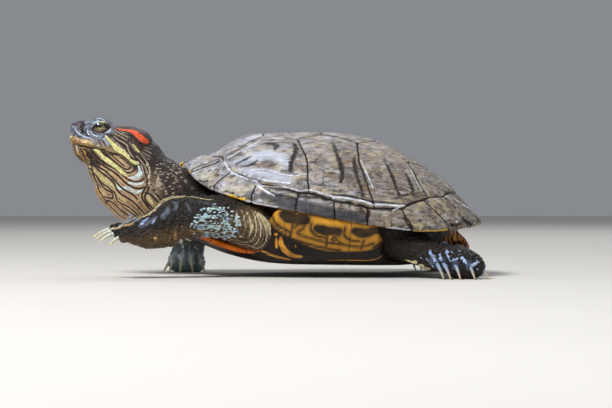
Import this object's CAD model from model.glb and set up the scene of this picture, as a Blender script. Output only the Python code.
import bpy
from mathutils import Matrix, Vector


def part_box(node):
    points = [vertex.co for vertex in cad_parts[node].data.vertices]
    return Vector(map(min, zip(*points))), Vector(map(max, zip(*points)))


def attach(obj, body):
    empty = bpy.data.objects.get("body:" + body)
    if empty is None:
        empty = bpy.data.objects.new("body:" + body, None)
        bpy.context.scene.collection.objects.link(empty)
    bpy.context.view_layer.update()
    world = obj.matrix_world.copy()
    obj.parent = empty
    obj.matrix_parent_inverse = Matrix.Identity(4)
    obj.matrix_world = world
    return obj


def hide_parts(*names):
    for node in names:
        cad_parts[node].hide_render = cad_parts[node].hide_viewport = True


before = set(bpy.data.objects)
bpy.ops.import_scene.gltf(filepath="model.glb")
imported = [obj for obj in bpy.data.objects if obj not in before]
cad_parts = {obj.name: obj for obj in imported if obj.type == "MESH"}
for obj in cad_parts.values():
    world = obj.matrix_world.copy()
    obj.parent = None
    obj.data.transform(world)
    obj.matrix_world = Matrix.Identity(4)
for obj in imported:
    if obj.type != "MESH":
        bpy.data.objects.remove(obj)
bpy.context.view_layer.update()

import math
import bpy
import bmesh
import numpy as np
from mathutils import Vector, noise
from mathutils.bvhtree import BVHTree
from mathutils.geometry import delaunay_2d_cdt

# ---------------------------------------------------------------- studio
# Pale seamless floor, a large soft box above and in front, a weaker one behind, and the camera
# at the height of the animal's flank, square to its left side.
MM = 0.001
CAMERA_AT = (-15.0, -1330.0, 52.0)  # millimetres, measured from the middle of the shell
CAMERA_TILT = 89.63
FOCAL_PIXELS = 2168.0
SENSOR_WIDTH = 36.0
VIEW_WIDTH, VIEW_HEIGHT = 612, 408
VIEW_MIDDLE = (306.0, 190.0)  # view pixel that looks straight along +Y
FLOOR_SIZE = 6.0
LIT_FROM_ALL_SIDES = 0.32  # strength of the plain pale surround
SOFT_BOXES = {  # place and side in metres, power in watts
    "key_softbox": ((-0.6, -0.85, 1.2), 0.5, 27),
    "fill_softbox": ((0.9, -1.3, 0.5), 1.2, 4),
    "back_softbox": ((0.3, 1.2, 1.2), 1.0, 7),
}
BOXES_AIM_AT = (0, 0, 0.05)
SHELL_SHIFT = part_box("carapace")[0][0] / MM + 88.5  # the frame's X of the middle of the shell


def metres(points):
    """Millimetres measured from the middle of the shell, as metres of the frame."""
    return (np.asarray(points, float) + [SHELL_SHIFT, 0, 0]) * MM


def put_in_scene(name, data):
    made = bpy.data.objects.new(name, data)
    bpy.context.scene.collection.objects.link(made)
    return made


def new_material(name, roughness, specular=0.5):
    """A material with its shader; the caller adds the colour and the relief."""
    made = bpy.data.materials.new(name)
    made.use_nodes = True
    shader = made.node_tree.nodes["Principled BSDF"]
    shader.inputs["Roughness"].default_value = roughness
    shader.inputs["Specular IOR Level"].default_value = specular
    return made, made.node_tree, shader


def add_node(tree, kind, inputs=(), **settings):
    """One shader node: settings are its properties, inputs its sockets, by name or number."""
    made = tree.nodes.new(kind)
    for key, value in settings.items():
        setattr(made, key, value)
    for key, value in dict(inputs).items():
        if isinstance(value, bpy.types.NodeSocket):
            tree.links.new(value, made.inputs[key])
        else:
            made.inputs[key].default_value = value
    return made


def linear(red, green, blue):
    """A colour given as 0-255 display values, as the linear colour that a shader wants."""
    def one(value):
        value /= 255
        return value / 12.92 if value <= 0.04045 else ((value + 0.055) / 1.055) ** 2.4
    return (one(red), one(green), one(blue), 1.0)


def grain(tree, scale, detail=4.0, stretch=(1, 1, 1), roughness=0.55):
    """Noise on the piece's own coordinates; stretch above 1 packs it tighter along that axis."""
    place = add_node(tree, "ShaderNodeTexCoord")
    turn = add_node(tree, "ShaderNodeMapping", {"Vector": place.outputs["Object"], "Scale": stretch})
    return add_node(tree, "ShaderNodeTexNoise", {
        "Vector": turn.outputs["Vector"], "Scale": scale, "Detail": detail, "Roughness": roughness,
    }).outputs["Fac"]


def remap(tree, value, low, high, to_low=0.0, to_high=1.0):
    return add_node(tree, "ShaderNodeMapRange", {
        "Value": value, "From Min": low, "From Max": high, "To Min": to_low, "To Max": to_high,
    }).outputs["Result"]


def blend_colours(tree, share, first, second, mode="MIX"):
    made = add_node(tree, "ShaderNodeMix", data_type="RGBA", blend_type=mode)
    for socket, value in zip((made.inputs[0], made.inputs[6], made.inputs[7]), (share, first, second)):
        if isinstance(value, bpy.types.NodeSocket):
            tree.links.new(value, socket)
        else:
            socket.default_value = value
    return made.outputs[2]


def combine(tree, operation, first, second):
    return add_node(tree, "ShaderNodeMath", {0: first, 1: second}, operation=operation).outputs[0]


def bumped(tree, shader, height, depth, before=None):
    """Relief of the given depth in metres, added over an earlier one."""
    made = add_node(tree, "ShaderNodeBump", {"Height": height, "Distance": depth, "Strength": 1.0})
    if before is not None:
        tree.links.new(before, made.inputs["Normal"])
    tree.links.new(made.outputs["Normal"], shader.inputs["Normal"])
    return made.outputs["Normal"]


floor_mesh = bpy.data.meshes.new("studio_floor")
half_floor = FLOOR_SIZE / 2
floor_mesh.from_pydata(
    [(-half_floor, -half_floor, 0), (half_floor, -half_floor, 0), (half_floor, half_floor, 0),
     (-half_floor, half_floor, 0)], [], [(0, 1, 2, 3)])
studio_floor = put_in_scene("studio_floor", floor_mesh)
floor_paint, tree, shader = new_material("pale_floor", 0.75, 0.2)
tone = blend_colours(tree, grain(tree, 3.0), linear(206, 203, 197), linear(216, 213, 208))
tree.links.new(tone, shader.inputs["Base Color"])
floor_mesh.materials.append(floor_paint)

camera_data = bpy.data.cameras.new("camera")
camera_data.sensor_width = SENSOR_WIDTH
camera_data.lens = FOCAL_PIXELS / VIEW_WIDTH * SENSOR_WIDTH
camera = put_in_scene("camera", camera_data)
camera.location = metres(CAMERA_AT)
camera.rotation_euler = (math.radians(CAMERA_TILT), 0, 0)
bpy.context.scene.camera = camera

for name, (place, size, power) in SOFT_BOXES.items():
    lamp = bpy.data.lights.new(name, "AREA")
    lamp.shape, lamp.size, lamp.energy = "SQUARE", size, power
    placed = put_in_scene(name, lamp)
    placed.location = place
    placed.rotation_euler = (Vector(BOXES_AIM_AT) - Vector(place)).to_track_quat("-Z", "Y").to_euler()
world = bpy.data.worlds.new("studio")
world.use_nodes = True
surround = world.node_tree.nodes["Background"].inputs
surround["Color"].default_value = linear(226, 230, 238)
surround["Strength"].default_value = LIT_FROM_ALL_SIDES
bpy.context.scene.world = world
bpy.context.scene.view_settings.view_transform = "Standard"

# ---------------------------------------------------------------- bone of the carapace
# The bowl of bone that carries the horny scutes, dark where it shows in the seams between them.
# It is one closed shell, laid out by rays from a hub near the middle of the back.
SHELL_FRONT, SHELL_REAR, SHELL_WIDEST = -90.0, 92.0, 22.0
SHELL_HALF_WIDTH = 68.5
FRONT_FULLNESS, REAR_FULLNESS = 2.6, 3.0
DOME_CURVE, DOME_DROP = 2.1, 0.78
LIP, SHELL_THICKNESS = 2.6, 5.0
MARGIN_SHARE = 0.86
SHELL_HUB = 11.0
MARGINALS, FIRST_TOOTHED_MARGINAL, TOOTH = 12, 8, 1.5
NUCHAL_TOOTH = 4.0  # the narrow scute over the neck reaches this much further
RIDGE = [
    [-90, 68.2], [-84, 71.6], [-72, 74.6], [-60, 82], [-51, 85.9], [-41, 86.6],
    [-6, 87.5], [22, 84.1], [48.8, 71.9], [72.4, 55.1], [84, 42], [92, 33.7],
]
RIM = [
    [-90, 65], [-82, 57], [-71, 51.2], [-48, 44.2], [-12, 37.5], [22, 31.4],
    [58, 27.4], [76, 28.8], [92, 31],
]
RAYS = 720
RAY_STEP = 0.4  # spacing of the points along a ray
UNDER_SHARE = 0.8  # the underside of the marginals is followed in to this share of the radius
RIM_SAMPLES, RAY_SAMPLES, LIP_SAMPLES = 4000, 420, 9
BONE_DEPTH = 0.9  # bone below the outer face of the scutes
BONE_EVERY = 4  # the bone takes one ray in so many
BONE_WAYS = np.concatenate([np.arange(2, 30, 7), np.linspace(30, 100, 24)]) / 100  # its rings along a ray
BONE_UNDER = (0.6, 0.3, 0.04)  # its rings under the dome, as shares of the radius


def through(pairs, x):
    """Smooth curve through [x, value] pairs, with no overshoot past neighbouring values."""
    at, value = np.array(pairs, float).T
    slope = np.diff(value) / np.diff(at)
    tangent = np.concatenate([slope[:1], np.zeros(len(at) - 2), slope[-1:]])
    before, after = slope[:-1], slope[1:]
    same = before * after > 0
    tangent[1:-1] = np.where(same, 2 * before * after / np.where(same, before + after, 1), 0)
    x = np.clip(x, at[0], at[-1])
    i = np.clip(np.searchsorted(at, x, side="right") - 1, 0, len(at) - 2)
    span = at[i + 1] - at[i]
    t = (x - at[i]) / span
    rise = (1 - t) ** 2 * (1 + 2 * t) * value[i] + t * t * (3 - 2 * t) * value[i + 1]
    return rise + span * (t * (1 - t) ** 2 * tangent[i] - t * t * (1 - t) * tangent[i + 1])


def smoothstep(low, high, value):
    t = np.clip((value - low) / (high - low), 0, 1)
    return t * t * (3 - 2 * t)


def outline_half_width(x):
    ahead = x < SHELL_WIDEST
    span = np.where(ahead, SHELL_WIDEST - SHELL_FRONT, SHELL_REAR - SHELL_WIDEST)
    fullness = np.where(ahead, FRONT_FULLNESS, REAR_FULLNESS)
    u = np.minimum(np.abs(x - SHELL_WIDEST) / span, 1)
    return SHELL_HALF_WIDTH * np.sqrt(1 - u ** fullness)


def dome_height(x, y):
    u = np.minimum(np.abs(y) / np.maximum(outline_half_width(x), 1e-3), 1)
    low = through(RIM, x) + LIP
    return low + (through(RIDGE, x) - low) * (1 - u ** DOME_CURVE) ** DOME_DROP


def shell_rays():
    """Points and outward directions down every ray: over the dome, round the lip, in below it."""
    share = np.arange(0, 1, 1 / RIM_SAMPLES)
    rim_x = (SHELL_FRONT + SHELL_REAR) / 2 - (SHELL_REAR - SHELL_FRONT) / 2 * np.cos(2 * np.pi * share)
    rim_y = -np.sign(np.sin(2 * np.pi * share)) * outline_half_width(rim_x)
    polar = np.unwrap(np.arctan2(rim_y, rim_x - SHELL_HUB))
    polar = polar - 2 * np.pi * np.floor(polar[0] / (2 * np.pi))
    turn = np.arange(RAYS) * 2 * np.pi / RAYS
    reach_of = np.hypot(rim_x - SHELL_HUB, rim_y)
    order = np.argsort(polar % (2 * np.pi))
    around = (polar % (2 * np.pi))[order]
    reach = np.interp(turn, around, reach_of[order], period=2 * np.pi)
    share_at = np.interp(turn, around, share[order], period=2 * np.pi)
    along = np.where(share_at < 0.5, share_at, 1 - share_at) * 2 * MARGINALS
    tooth = np.where(along < FIRST_TOOTHED_MARGINAL, 0, TOOTH * np.abs(np.sin(np.pi * along)) ** 0.5)
    tooth = tooth + NUCHAL_TOOTH * smoothstep(0.34, 0.1, along)

    s = 1 - (1 - np.linspace(0, 1, RAY_SAMPLES)) ** 2
    lip_turn = np.linspace(0, 1, LIP_SAMPLES)[1:-1] * np.pi
    rows, lengths, edges = [], [], []
    for i in range(RAYS):
        direction = np.array([math.cos(turn[i]), math.sin(turn[i])])
        plan = s * reach[i] + np.maximum(s - MARGIN_SHARE, 0) / (1 - MARGIN_SHARE) * (tooth[i] - TOOTH)
        x, y = SHELL_HUB + s * reach[i] * direction[0], s * reach[i] * direction[1]
        top = np.stack([plan, dome_height(x, y)], 1)
        slope = np.gradient(top, axis=0)
        slope /= np.linalg.norm(slope, axis=1, keepdims=True)
        down_in = np.stack([slope[:, 1], -slope[:, 0]], 1)  # square to the ray's path, into the shell
        depth = LIP + (SHELL_THICKNESS - LIP) * smoothstep(1, MARGIN_SHARE, s)
        wall = top + down_in * depth[:, None]
        lower = wall[s > UNDER_SHARE][::-1]
        edge = top[-1]
        lower = lower[lower[:, 0] < edge[0] - LIP * 0.5]
        lower = lower[lower[:, 1] > edge[1] - LIP + 0.2]
        lip = np.stack([edge[0] - LIP * 0.5 * (1 - np.cos(lip_turn)) + 0.6 * np.sin(lip_turn),
                        edge[1] - LIP * np.sin(np.minimum(lip_turn, np.pi / 2))
                        + (LIP - 0.4) * np.maximum(0, -np.cos(lip_turn)) * 0.5], 1)
        path = np.concatenate([top, lip, lower])
        length = np.concatenate([[0], np.cumsum(np.hypot(*np.diff(path, axis=0).T))])
        lengths.append(length[-1])
        edges.append(length[len(top) - 1])
        rows.append((path, length, direction))
    count = int(max(lengths) / RAY_STEP) + 2
    points = np.zeros((RAYS, count, 3))
    for i, (path, length, direction) in enumerate(rows):
        at = np.minimum(np.arange(count) * RAY_STEP, length[-1])
        radial, height = np.interp(at, length, path[:, 0]), np.interp(at, length, path[:, 1])
        points[i] = np.stack([SHELL_HUB + radial * direction[0], radial * direction[1], height], 1)
    down = np.roll(points, -1, 1) - np.roll(points, 1, 1)
    down[:, 0], down[:, -1] = down[:, 1], down[:, -2]
    across = np.roll(points, -1, 0) - np.roll(points, 1, 0)
    out = np.cross(across, down)
    out[:, 0] = (0, 0, 1)
    size = np.linalg.norm(out, axis=2, keepdims=True)
    out = np.where(size > 1e-9, out / np.maximum(size, 1e-9), (0, 0, 1))
    if out[RAYS // 3, 40, 2] < 0:
        out = -out
    out[:, 0] = (0, 0, 1)
    for _ in range(3):  # evens the corner of the lip
        out[:, 1:-1] = (out[:, :-2] + 2 * out[:, 1:-1] + out[:, 2:]) / 4
    out /= np.linalg.norm(out, axis=2, keepdims=True)
    return points, out, np.array(lengths), np.array(edges), reach


ray_points, ray_out, ray_lengths, ray_edges, ray_reach = shell_rays()


def per_ray(values, angle):
    at = (angle % (2 * np.pi)) / (2 * np.pi) * RAYS
    i = np.floor(at).astype(int) % RAYS
    t = at - np.floor(at)
    return values[i] * (1 - t) + values[(i + 1) % RAYS] * t


def on_shell(flat, lift=0.0):
    """Shell points over flattened places [p, q]: same direction from the hub, same way along the ray."""
    flat = np.asarray(flat, float)
    at = (np.arctan2(flat[:, 1], flat[:, 0]) % (2 * np.pi)) / (2 * np.pi) * RAYS
    way = np.hypot(flat[:, 0], flat[:, 1]) / RAY_STEP
    i, k = np.floor(at).astype(int) % RAYS, np.floor(way).astype(int)
    k = np.clip(k, 0, ray_points.shape[1] - 2)
    t, w = (at - np.floor(at))[:, None], (way - k)[:, None].clip(0, 1)
    j = (i + 1) % RAYS

    def mixed(table):
        return ((table[i, k] * (1 - w) + table[i, k + 1] * w) * (1 - t)
                + (table[j, k] * (1 - w) + table[j, k + 1] * w) * t)
    out = mixed(ray_out)
    out /= np.linalg.norm(out, axis=1, keepdims=True)
    return mixed(ray_points) + out * np.reshape(lift, (-1, 1)), out


def flatten(plan):
    """Flattened place of a point of the dome given by its [x, y] in plan."""
    plan = np.atleast_2d(np.asarray(plan, float)) - [SHELL_HUB, 0]
    angle, wanted = np.arctan2(plan[:, 1], plan[:, 0]), np.hypot(plan[:, 0], plan[:, 1])
    made = []
    for a, r in zip(angle, wanted):
        i = int(round((a % (2 * np.pi)) / (2 * np.pi) * RAYS)) % RAYS
        rim = int(ray_edges[i] / RAY_STEP)
        radial = np.hypot(ray_points[i, :rim + 1, 0] - SHELL_HUB, ray_points[i, :rim + 1, 1])
        way = np.interp(r, radial, np.arange(rim + 1) * RAY_STEP)
        if r > radial[-1]:
            way = per_ray(ray_edges, np.array([a]))[0]
        made.append([way * math.cos(a), way * math.sin(a)])
    return np.array(made)


def mesh_from(name, points, faces):
    """A mesh in the frame's metres from points in millimetres."""
    made = bpy.data.meshes.new(name)
    made.from_pydata(metres(points).tolist(), [], [tuple(int(i) for i in face) for face in faces])
    made.validate()
    made.polygons.foreach_set("use_smooth", [True] * len(made.polygons))
    return made


def store(mesh, name, values, kind="FLOAT"):
    layer = mesh.attributes.new(name, kind, "POINT")
    values = np.asarray(values, np.float32)
    layer.data.foreach_set("color" if kind == "FLOAT_COLOR" else "value", values.ravel())


def read(tree, name, output="Fac"):
    return add_node(tree, "ShaderNodeAttribute", attribute_name=name).outputs[output]


def rings_to_faces(rows, count):
    faces = []
    for r in range(rows - 1):
        for s in range(count):
            n = (s + 1) % count
            faces.append((r * count + s, r * count + n, (r + 1) * count + n, (r + 1) * count + s))
    return faces


bone_rings = []
angle = np.arange(0, RAYS, BONE_EVERY) * 2 * np.pi / RAYS
for share in BONE_WAYS:
    full = per_ray(ray_lengths, angle) * share
    flat = np.stack([full * np.cos(angle), full * np.sin(angle)], 1)
    bone_rings.append(on_shell(flat, -BONE_DEPTH)[0])
for share in BONE_UNDER:
    reach = per_ray(ray_reach, angle) * share
    x, y = SHELL_HUB + reach * np.cos(angle), reach * np.sin(angle)
    bone_rings.append(np.stack([x, y, dome_height(x, y) - SHELL_THICKNESS], 1))
count = len(bone_rings[0])
points = np.concatenate(bone_rings + [bone_rings[0].mean(0)[None], bone_rings[-1].mean(0)[None]])
faces = rings_to_faces(len(bone_rings), count)
last = (len(bone_rings) - 1) * count
faces += [(len(points) - 2, (s + 1) % count, s) for s in range(count)]
faces += [(len(points) - 1, last + s, last + (s + 1) % count) for s in range(count)]
bone = put_in_scene("carapace_bone", mesh_from("carapace_bone", points, faces))
bone_horn, tree, shader = new_material("seam_brown", 0.7, 0.3)
tone = blend_colours(tree, grain(tree, 160), linear(34, 24, 17), linear(66, 50, 36))
tree.links.new(tone, shader.inputs["Base Color"])
bumped(tree, shader, grain(tree, 900), 0.0002)
bone.data.materials.append(bone_horn)
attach(bone, "root")

# ---------------------------------------------------------------- scutes of the carapace
# Thin plates of horn, grown on the bone edge to edge: five down the back, four on each flank and
# twelve round each edge, with a narrow one over the neck. Each sinks into the seams round it.
SCUTE_GRAIN = 0.78  # spacing of the points of a scute
SEAM_DEPTH, SEAM_WIDTH = 0.85, 1.5
SCUTE_SKIRT = 1.15
SKIRT_GRAIN = 3.0  # the hidden back of a scute has a coarser mesh
GROWTH_LINES = [2.4, 3.7, 4.8, 5.8]  # distances of the growth ridges from the seam
GROWTH_HEIGHT, GROWTH_WIDTH = 0.15, 0.42
EDGE_WAVER = 0.5  # how far a seam strays from a straight line
MARGINAL_RAYS = 14  # rays round the edge of one marginal
CERVICAL_HALF = 2.6
# seam between the marginals and the rest, from the cervical to the rear, [x, y] on the left side
MARGIN_SEAM = {
    "cervical": (-76, -2.5), "v1": (-70.7, -17.3), "m12": (-65.5, -26), "c1": (-64.7, -30.8),
    "m23": (-59.5, -42), "m34": (-43.9, -53.5), "m45": (-19.1, -60.9), "c12": (-13.2, -61.6),
    "m56": (1.5, -63.8), "m67": (21, -64.6), "c23": (25.3, -64.3), "m78": (41.1, -62.4),
    "m78b": (49, -57.4), "m89": (54.2, -53.8), "c34": (57.6, -50.3), "m910": (66.5, -41.8),
    "m1011": (72.3, -27.2), "m1112": (76.6, -14), "rear": (78.2, 0),
}
# where the seam between two marginals reaches the edge
RIM_ENDS = {
    "cervical": (-88.5, -3), "m12": (-85, -20), "m23": (-71.4, -42), "m34": (-48.5, -57.3),
    "m45": (-21.7, -65.4), "m56": (1.6, -68), "m67": (21.1, -68.5), "m78": (47.2, -66.8),
    "m89": (69.3, -57), "m910": (81.5, -42.5), "m1011": (88.4, -28), "m1112": (91.2, -14.5),
    "rear": (92, 0),
}
BACK = {  # corners of the seams of the back and flank
    "v12": (-41, -14), "v23": (-6, -16), "v34": (26.9, -14.2), "v45": (60, -12), "front": (-76, 0),
    "c12_top": (-20.4, -24.5), "c23_top": (15.7, -25.5), "c34_top": (46.4, -25.4),
}
V1_SIDE = [(-54.6, -28.2), (-46.9, -22.5)]
C12_LINE = [(-14.1, -47.1), (-16.2, -39.5)]
C23_LINE = [(21.9, -58.5), (16.6, -44.2)]
C34_LINE = [(52.6, -44)]
C4_V5_LINE = [(66.5, -14.5)]


def seam_between(first, last):
    names = list(MARGIN_SEAM)
    return [MARGIN_SEAM[key] for key in names[names.index(first):names.index(last) + 1]]


FLANK = {
    "costal_1": seam_between("m12", "c12") + C12_LINE + [BACK["c12_top"], BACK["v12"]] + V1_SIDE[::-1],
    "costal_2": (seam_between("c12", "c23") + C23_LINE + [BACK["c23_top"], BACK["v23"], BACK["c12_top"]]
                 + C12_LINE[::-1]),
    "costal_3": (seam_between("c23", "c34") + C34_LINE + [BACK["c34_top"], BACK["v34"], BACK["c23_top"]]
                 + C23_LINE[::-1]),
    "costal_4": (seam_between("c34", "m1011") + C4_V5_LINE + [BACK["v45"], BACK["c34_top"]] + C34_LINE),
}
MIDDLE = {
    "vertebral_1": seam_between("cervical", "m12") + V1_SIDE + [BACK["v12"]],
    "vertebral_2": [BACK["v12"], BACK["c12_top"], BACK["v23"]],
    "vertebral_3": [BACK["v23"], BACK["c23_top"], BACK["v34"]],
    "vertebral_4": [BACK["v34"], BACK["c34_top"], BACK["v45"]],
    "vertebral_5": [BACK["v45"]] + C4_V5_LINE + seam_between("m1011", "rear")[:-1],
}


def dense(corners):
    """The outline with points at the scute's grain, each side with a slight waver of its own."""
    corners = np.asarray(corners, float)
    made = []
    for a, b in zip(corners, np.roll(corners, -1, 0)):
        pieces = max(1, int(round(np.linalg.norm(b - a) / SCUTE_GRAIN)))
        t = np.arange(pieces)[:, None] / pieces
        low, high = (a, b) if tuple(a) < tuple(b) else (b, a)
        side = np.array([-(high - low)[1], (high - low)[0]]) / max(np.linalg.norm(b - a), 1e-6)
        places = a + (b - a) * t
        waver = np.array([noise.noise(Vector((p[0] * 0.16, abs(p[1]) * 0.16, 3.1))) for p in places])
        waver *= EDGE_WAVER * np.sin(np.pi * t[:, 0])
        made.append(places + side * waver[:, None])
    return np.concatenate(made)


def distance_to(outline, places):
    a, b = outline, np.roll(outline, -1, 0)
    ab = b - a
    best = np.full(len(places), 1e9)
    for start in range(0, len(places), 4000):
        p = places[start:start + 4000, None] - a[None]
        t = np.clip((p * ab).sum(2) / np.maximum((ab * ab).sum(1), 1e-9), 0, 1)
        best[start:start + 4000] = np.linalg.norm(p - ab * t[..., None], axis=2).min(1)
    return best


def inside(outline, places):
    x, y = places.T
    hit = np.zeros(len(places), bool)
    for (x1, y1), (x2, y2) in zip(outline, np.roll(outline, -1, 0)):
        crosses = (y1 > y) != (y2 > y)
        hit ^= crosses & (x < (x2 - x1) * (y - y1) / ((y2 - y1) or 1e-9) + x1)
    return hit


def welded(places, edges):
    """Triangles over flattened places with the given edges kept, and where each outline point went."""
    made = delaunay_2d_cdt([Vector(p) for p in places], edges, [], 1, 1e-5)
    ring = [0] * len(edges)
    for new, old in enumerate(made[3]):
        for index in old:
            if index < len(edges):
                ring[index] = new
    return np.array([tuple(p) for p in made[0]]), [tuple(face) for face in made[2]], ring


def scute(outline):
    """One plate over a flattened outline: points, faces, distance from the seam, flattened places."""
    if 0.5 * np.sum(outline[:, 0] * np.roll(outline[:, 1], -1)
                    - np.roll(outline[:, 0], -1) * outline[:, 1]) < 0:
        outline = outline[::-1]
    low, high = outline.min(0), outline.max(0)
    xs, ys = np.arange(low[0], high[0], SCUTE_GRAIN), np.arange(low[1], high[1], SCUTE_GRAIN * 0.866)
    grid = np.array([(x + (j % 2) * SCUTE_GRAIN / 2, y) for j, y in enumerate(ys) for x in xs])
    grid = grid[inside(outline, grid)]
    grid = grid[distance_to(outline, grid) > SCUTE_GRAIN * 0.55]
    count = len(outline)
    edges = [(i, (i + 1) % count) for i in range(count)]
    places, faces, ring = welded(np.concatenate([outline, grid]), edges)
    away = distance_to(outline, places)
    points = on_shell(places, growth(places, away))[0]
    first = len(points)
    coarse = grid[distance_to(outline, grid) > SCUTE_GRAIN]
    off_grain = np.abs(np.round(coarse / SKIRT_GRAIN) * SKIRT_GRAIN - coarse)
    coarse = coarse[(off_grain < SCUTE_GRAIN * 0.5).all(1)]
    backs, back_faces, back_ring = welded(np.concatenate([places[ring], coarse]), edges)
    faces += [tuple(first + v for v in face[::-1]) for face in back_faces]
    for i in range(count):
        n = (i + 1) % count
        faces.append((ring[n], ring[i], first + back_ring[i], first + back_ring[n]))
    away = np.concatenate([away, np.zeros(len(backs))])
    flat = np.concatenate([places, backs])
    return np.concatenate([points, on_shell(backs, -SCUTE_SKIRT)[0]]), faces, away, flat


def growth(places, away):
    """Lift over the bone: sunk at the seam, then growth ridges and the fine waver of horn."""
    edge = -SEAM_DEPTH * (1 - smoothstep(0, SEAM_WIDTH, away)) ** 1.5
    rings = sum(GROWTH_HEIGHT * np.exp(-((away - line) / GROWTH_WIDTH) ** 2) for line in GROWTH_LINES)
    waver = np.array([
        noise.noise(Vector((p[0] * 0.09, p[1] * 0.42, 1.7))) * 0.16
        + noise.noise(Vector((p[0] * 0.25, p[1] * 0.9, 8.2))) * 0.08 for p in places])
    return edge + rings + waver * smoothstep(0, 2.5, away)


def gather(parts):
    """Several plates as one mesh's points, faces and values."""
    starts = np.cumsum([0] + [len(points) for points, _, _, _ in parts])
    faces = [tuple(start + v for v in face) for start, part in zip(starts, parts) for face in part[1]]
    points, _, away, flat = zip(*parts)
    return np.concatenate(points), faces, np.concatenate(away), np.concatenate(flat)


def both_sides(corners):
    left = np.asarray(corners, float)
    return [left, left * [1, -1]]


def closed_middle(corners):
    """A scute on the midline: its left side, then its mirrored right side."""
    left = np.asarray(corners, float)
    return np.concatenate([left, (left * [1, -1])[::-1]])


vertebral_parts = [scute(dense(flatten(closed_middle(c)))) for c in MIDDLE.values()]
costal_parts = [scute(dense(flatten(side))) for c in FLANK.values() for side in both_sides(c)]


def marginal_outline(first, last, side):
    """From the inner seam over the edge and in below it, along rays of the hub."""
    inner = flatten(np.array(seam_between(first, last)) * [1, side])
    turns = []
    for key in (last, first):
        rim = flatten([np.array(RIM_ENDS[key]) * [1, side]])[0]
        turns.append(0.0 if key == "rear" else math.atan2(rim[1], rim[0]))
    if abs(turns[0] - turns[1]) > 3:  # the two lie on either side of the half turn
        turns = [turn % (2 * np.pi) for turn in turns]
    span = np.linspace(turns[0], turns[1], MARGINAL_RAYS)
    full = per_ray(ray_lengths, span)
    edge = per_ray(ray_edges, span)
    end = np.stack([full * np.cos(span), full * np.sin(span)], 1)
    rims = [np.array([edge[k] * math.cos(span[k]), edge[k] * math.sin(span[k])]) for k in (0, -1)]
    return np.concatenate([inner, rims[0][None], end, rims[1][None]])


marginal_parts = []
for side in (1, -1):
    for first, last in zip(list(RIM_ENDS)[:-1], list(RIM_ENDS)[1:]):
        marginal_parts.append(scute(dense(marginal_outline(first, last, side))))
cervical = closed_middle([(-88.4, -CERVICAL_HALF), (-76, -2.5)])
flat = flatten(cervical)
full = per_ray(ray_lengths, np.arctan2(flat[:1, 1], flat[:1, 0]))[0]
turn = np.arctan2(flat[[3, 0], 1], flat[[3, 0], 0])
under_edge = np.stack([full * np.cos(turn), full * np.sin(turn)], 1)
marginal_parts.append(scute(dense(np.concatenate([flat[:4], under_edge]))))

# Markings are strokes of [across, down, width] in view pixels, laid on the piece from the camera.
SHELL_PALE = [
    [(223.4, 159.7, 1.6), (226.9, 165.8, 2), (231.5, 171.7, 2.4), (237.1, 174.5, 2), (246.3, 178.1, 1.8),
     (255.5, 181.6, 1.8), (261.6, 185, 1.6), (271.8, 186.2, 1.2), (283.1, 186.7, 1.2), (292.2, 188.8, 1.2),
     (300.4, 190.5, 1.2), (308.6, 189.9, 1.2), (315.7, 191.3, 1.3), (322.9, 193.9, 1.3),
     (333.1, 196.4, 1.2)],
    [(255.5, 183.7, 0.8), (261.6, 188.3, 1.8), (267.8, 192.3, 1.8), (273.9, 195.4, 1)],
    [(333.1, 197.7, 1.4), (342.2, 197.6, 1.5), (355.5, 199.7, 1.5), (365.7, 202, 1.5), (372.9, 204.4, 1.4),
     (383.1, 204.6, 1.4), (395.3, 205.6, 1.4), (404.5, 205.4, 1)], [(393.3, 210.2, 1), (400.4, 206.6, 1)],
    [(212.7, 190.6, 1), (218, 192.4, 1.4), (223, 194, 1)],
    [(243, 200.9, 1), (249.4, 202, 1.6), (259.6, 204.1, 1.4), (269.8, 206.1, 1.4), (278, 207.1, 1)],
    [(336.1, 223, 1), (345.3, 224.5, 1.4), (363.7, 225.5, 1.2), (370.8, 226.2, 1.4), (391.2, 228.3, 1.4),
     (409.6, 230.1, 1.2)], [(191.2, 174, 1.4), (198.4, 170.9, 1.2), (206.5, 167.9, 1)],
    [(186.1, 167.9, 1), (193.3, 160.7, 1.2), (204.5, 155.6, 1.2), (213.7, 154.6, 1)],
    [(223.9, 150.5, 0.8), (237.1, 143.4, 1.2), (249.4, 137.2, 1), (261.6, 134.2, 0.8)],
    [(226.9, 158.7, 1), (237.1, 152.6, 1.2), (249.4, 146.9, 1.2), (259.6, 141.3, 0.8)],
    [(251.4, 169.9, 0.8), (261.6, 168.9, 1), (271.8, 170.9, 1), (286.1, 175, 1), (300.4, 175, 0.8)],
    [(257.6, 178.1, 1), (266.7, 180.6, 1.6), (278, 182.1, 1.4), (290.2, 183.2, 1.2)],
    [(439.2, 180.1, 1), (445.3, 185.2, 1.2), (450.4, 191.3, 0.8)],
    [(450.4, 196.4, 0.8), (462.7, 204.6, 1.8), (470.8, 209.7, 1.8), (473.9, 212.8, 1)],
    [(360.6, 159.7, 0.8), (367.8, 176, 1), (372.9, 188.3, 0.8)],
    [(410.6, 169.9, 0.8), (416.7, 182.1, 1), (421.8, 191.3, 0.6)],
]
CREASE = [(191, 173.4, 1.2), (199, 169.6, 1.3), (207, 166.2, 1.3), (214, 163.6, 1.3), (219.6, 161.4, 1.2)]
SHELL_BRIGHT = [
    [(232, 163, 5), (244, 160, 12), (256, 156, 15), (268, 154, 14), (280, 158, 12), (288, 166, 8)],
    [(240, 170, 6), (254, 172, 10), (268, 174, 10), (282, 178, 8), (290, 181, 5)],
    [(240, 144, 4), (254, 137, 7), (266, 134.5, 5)],
]
SHELL_DUSK = [
    [(262, 195, 4), (276, 199, 11), (292, 204, 14), (308, 208, 15), (324, 212, 15), (340, 215, 13),
     (356, 218, 11), (366, 220, 7)],
]
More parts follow.
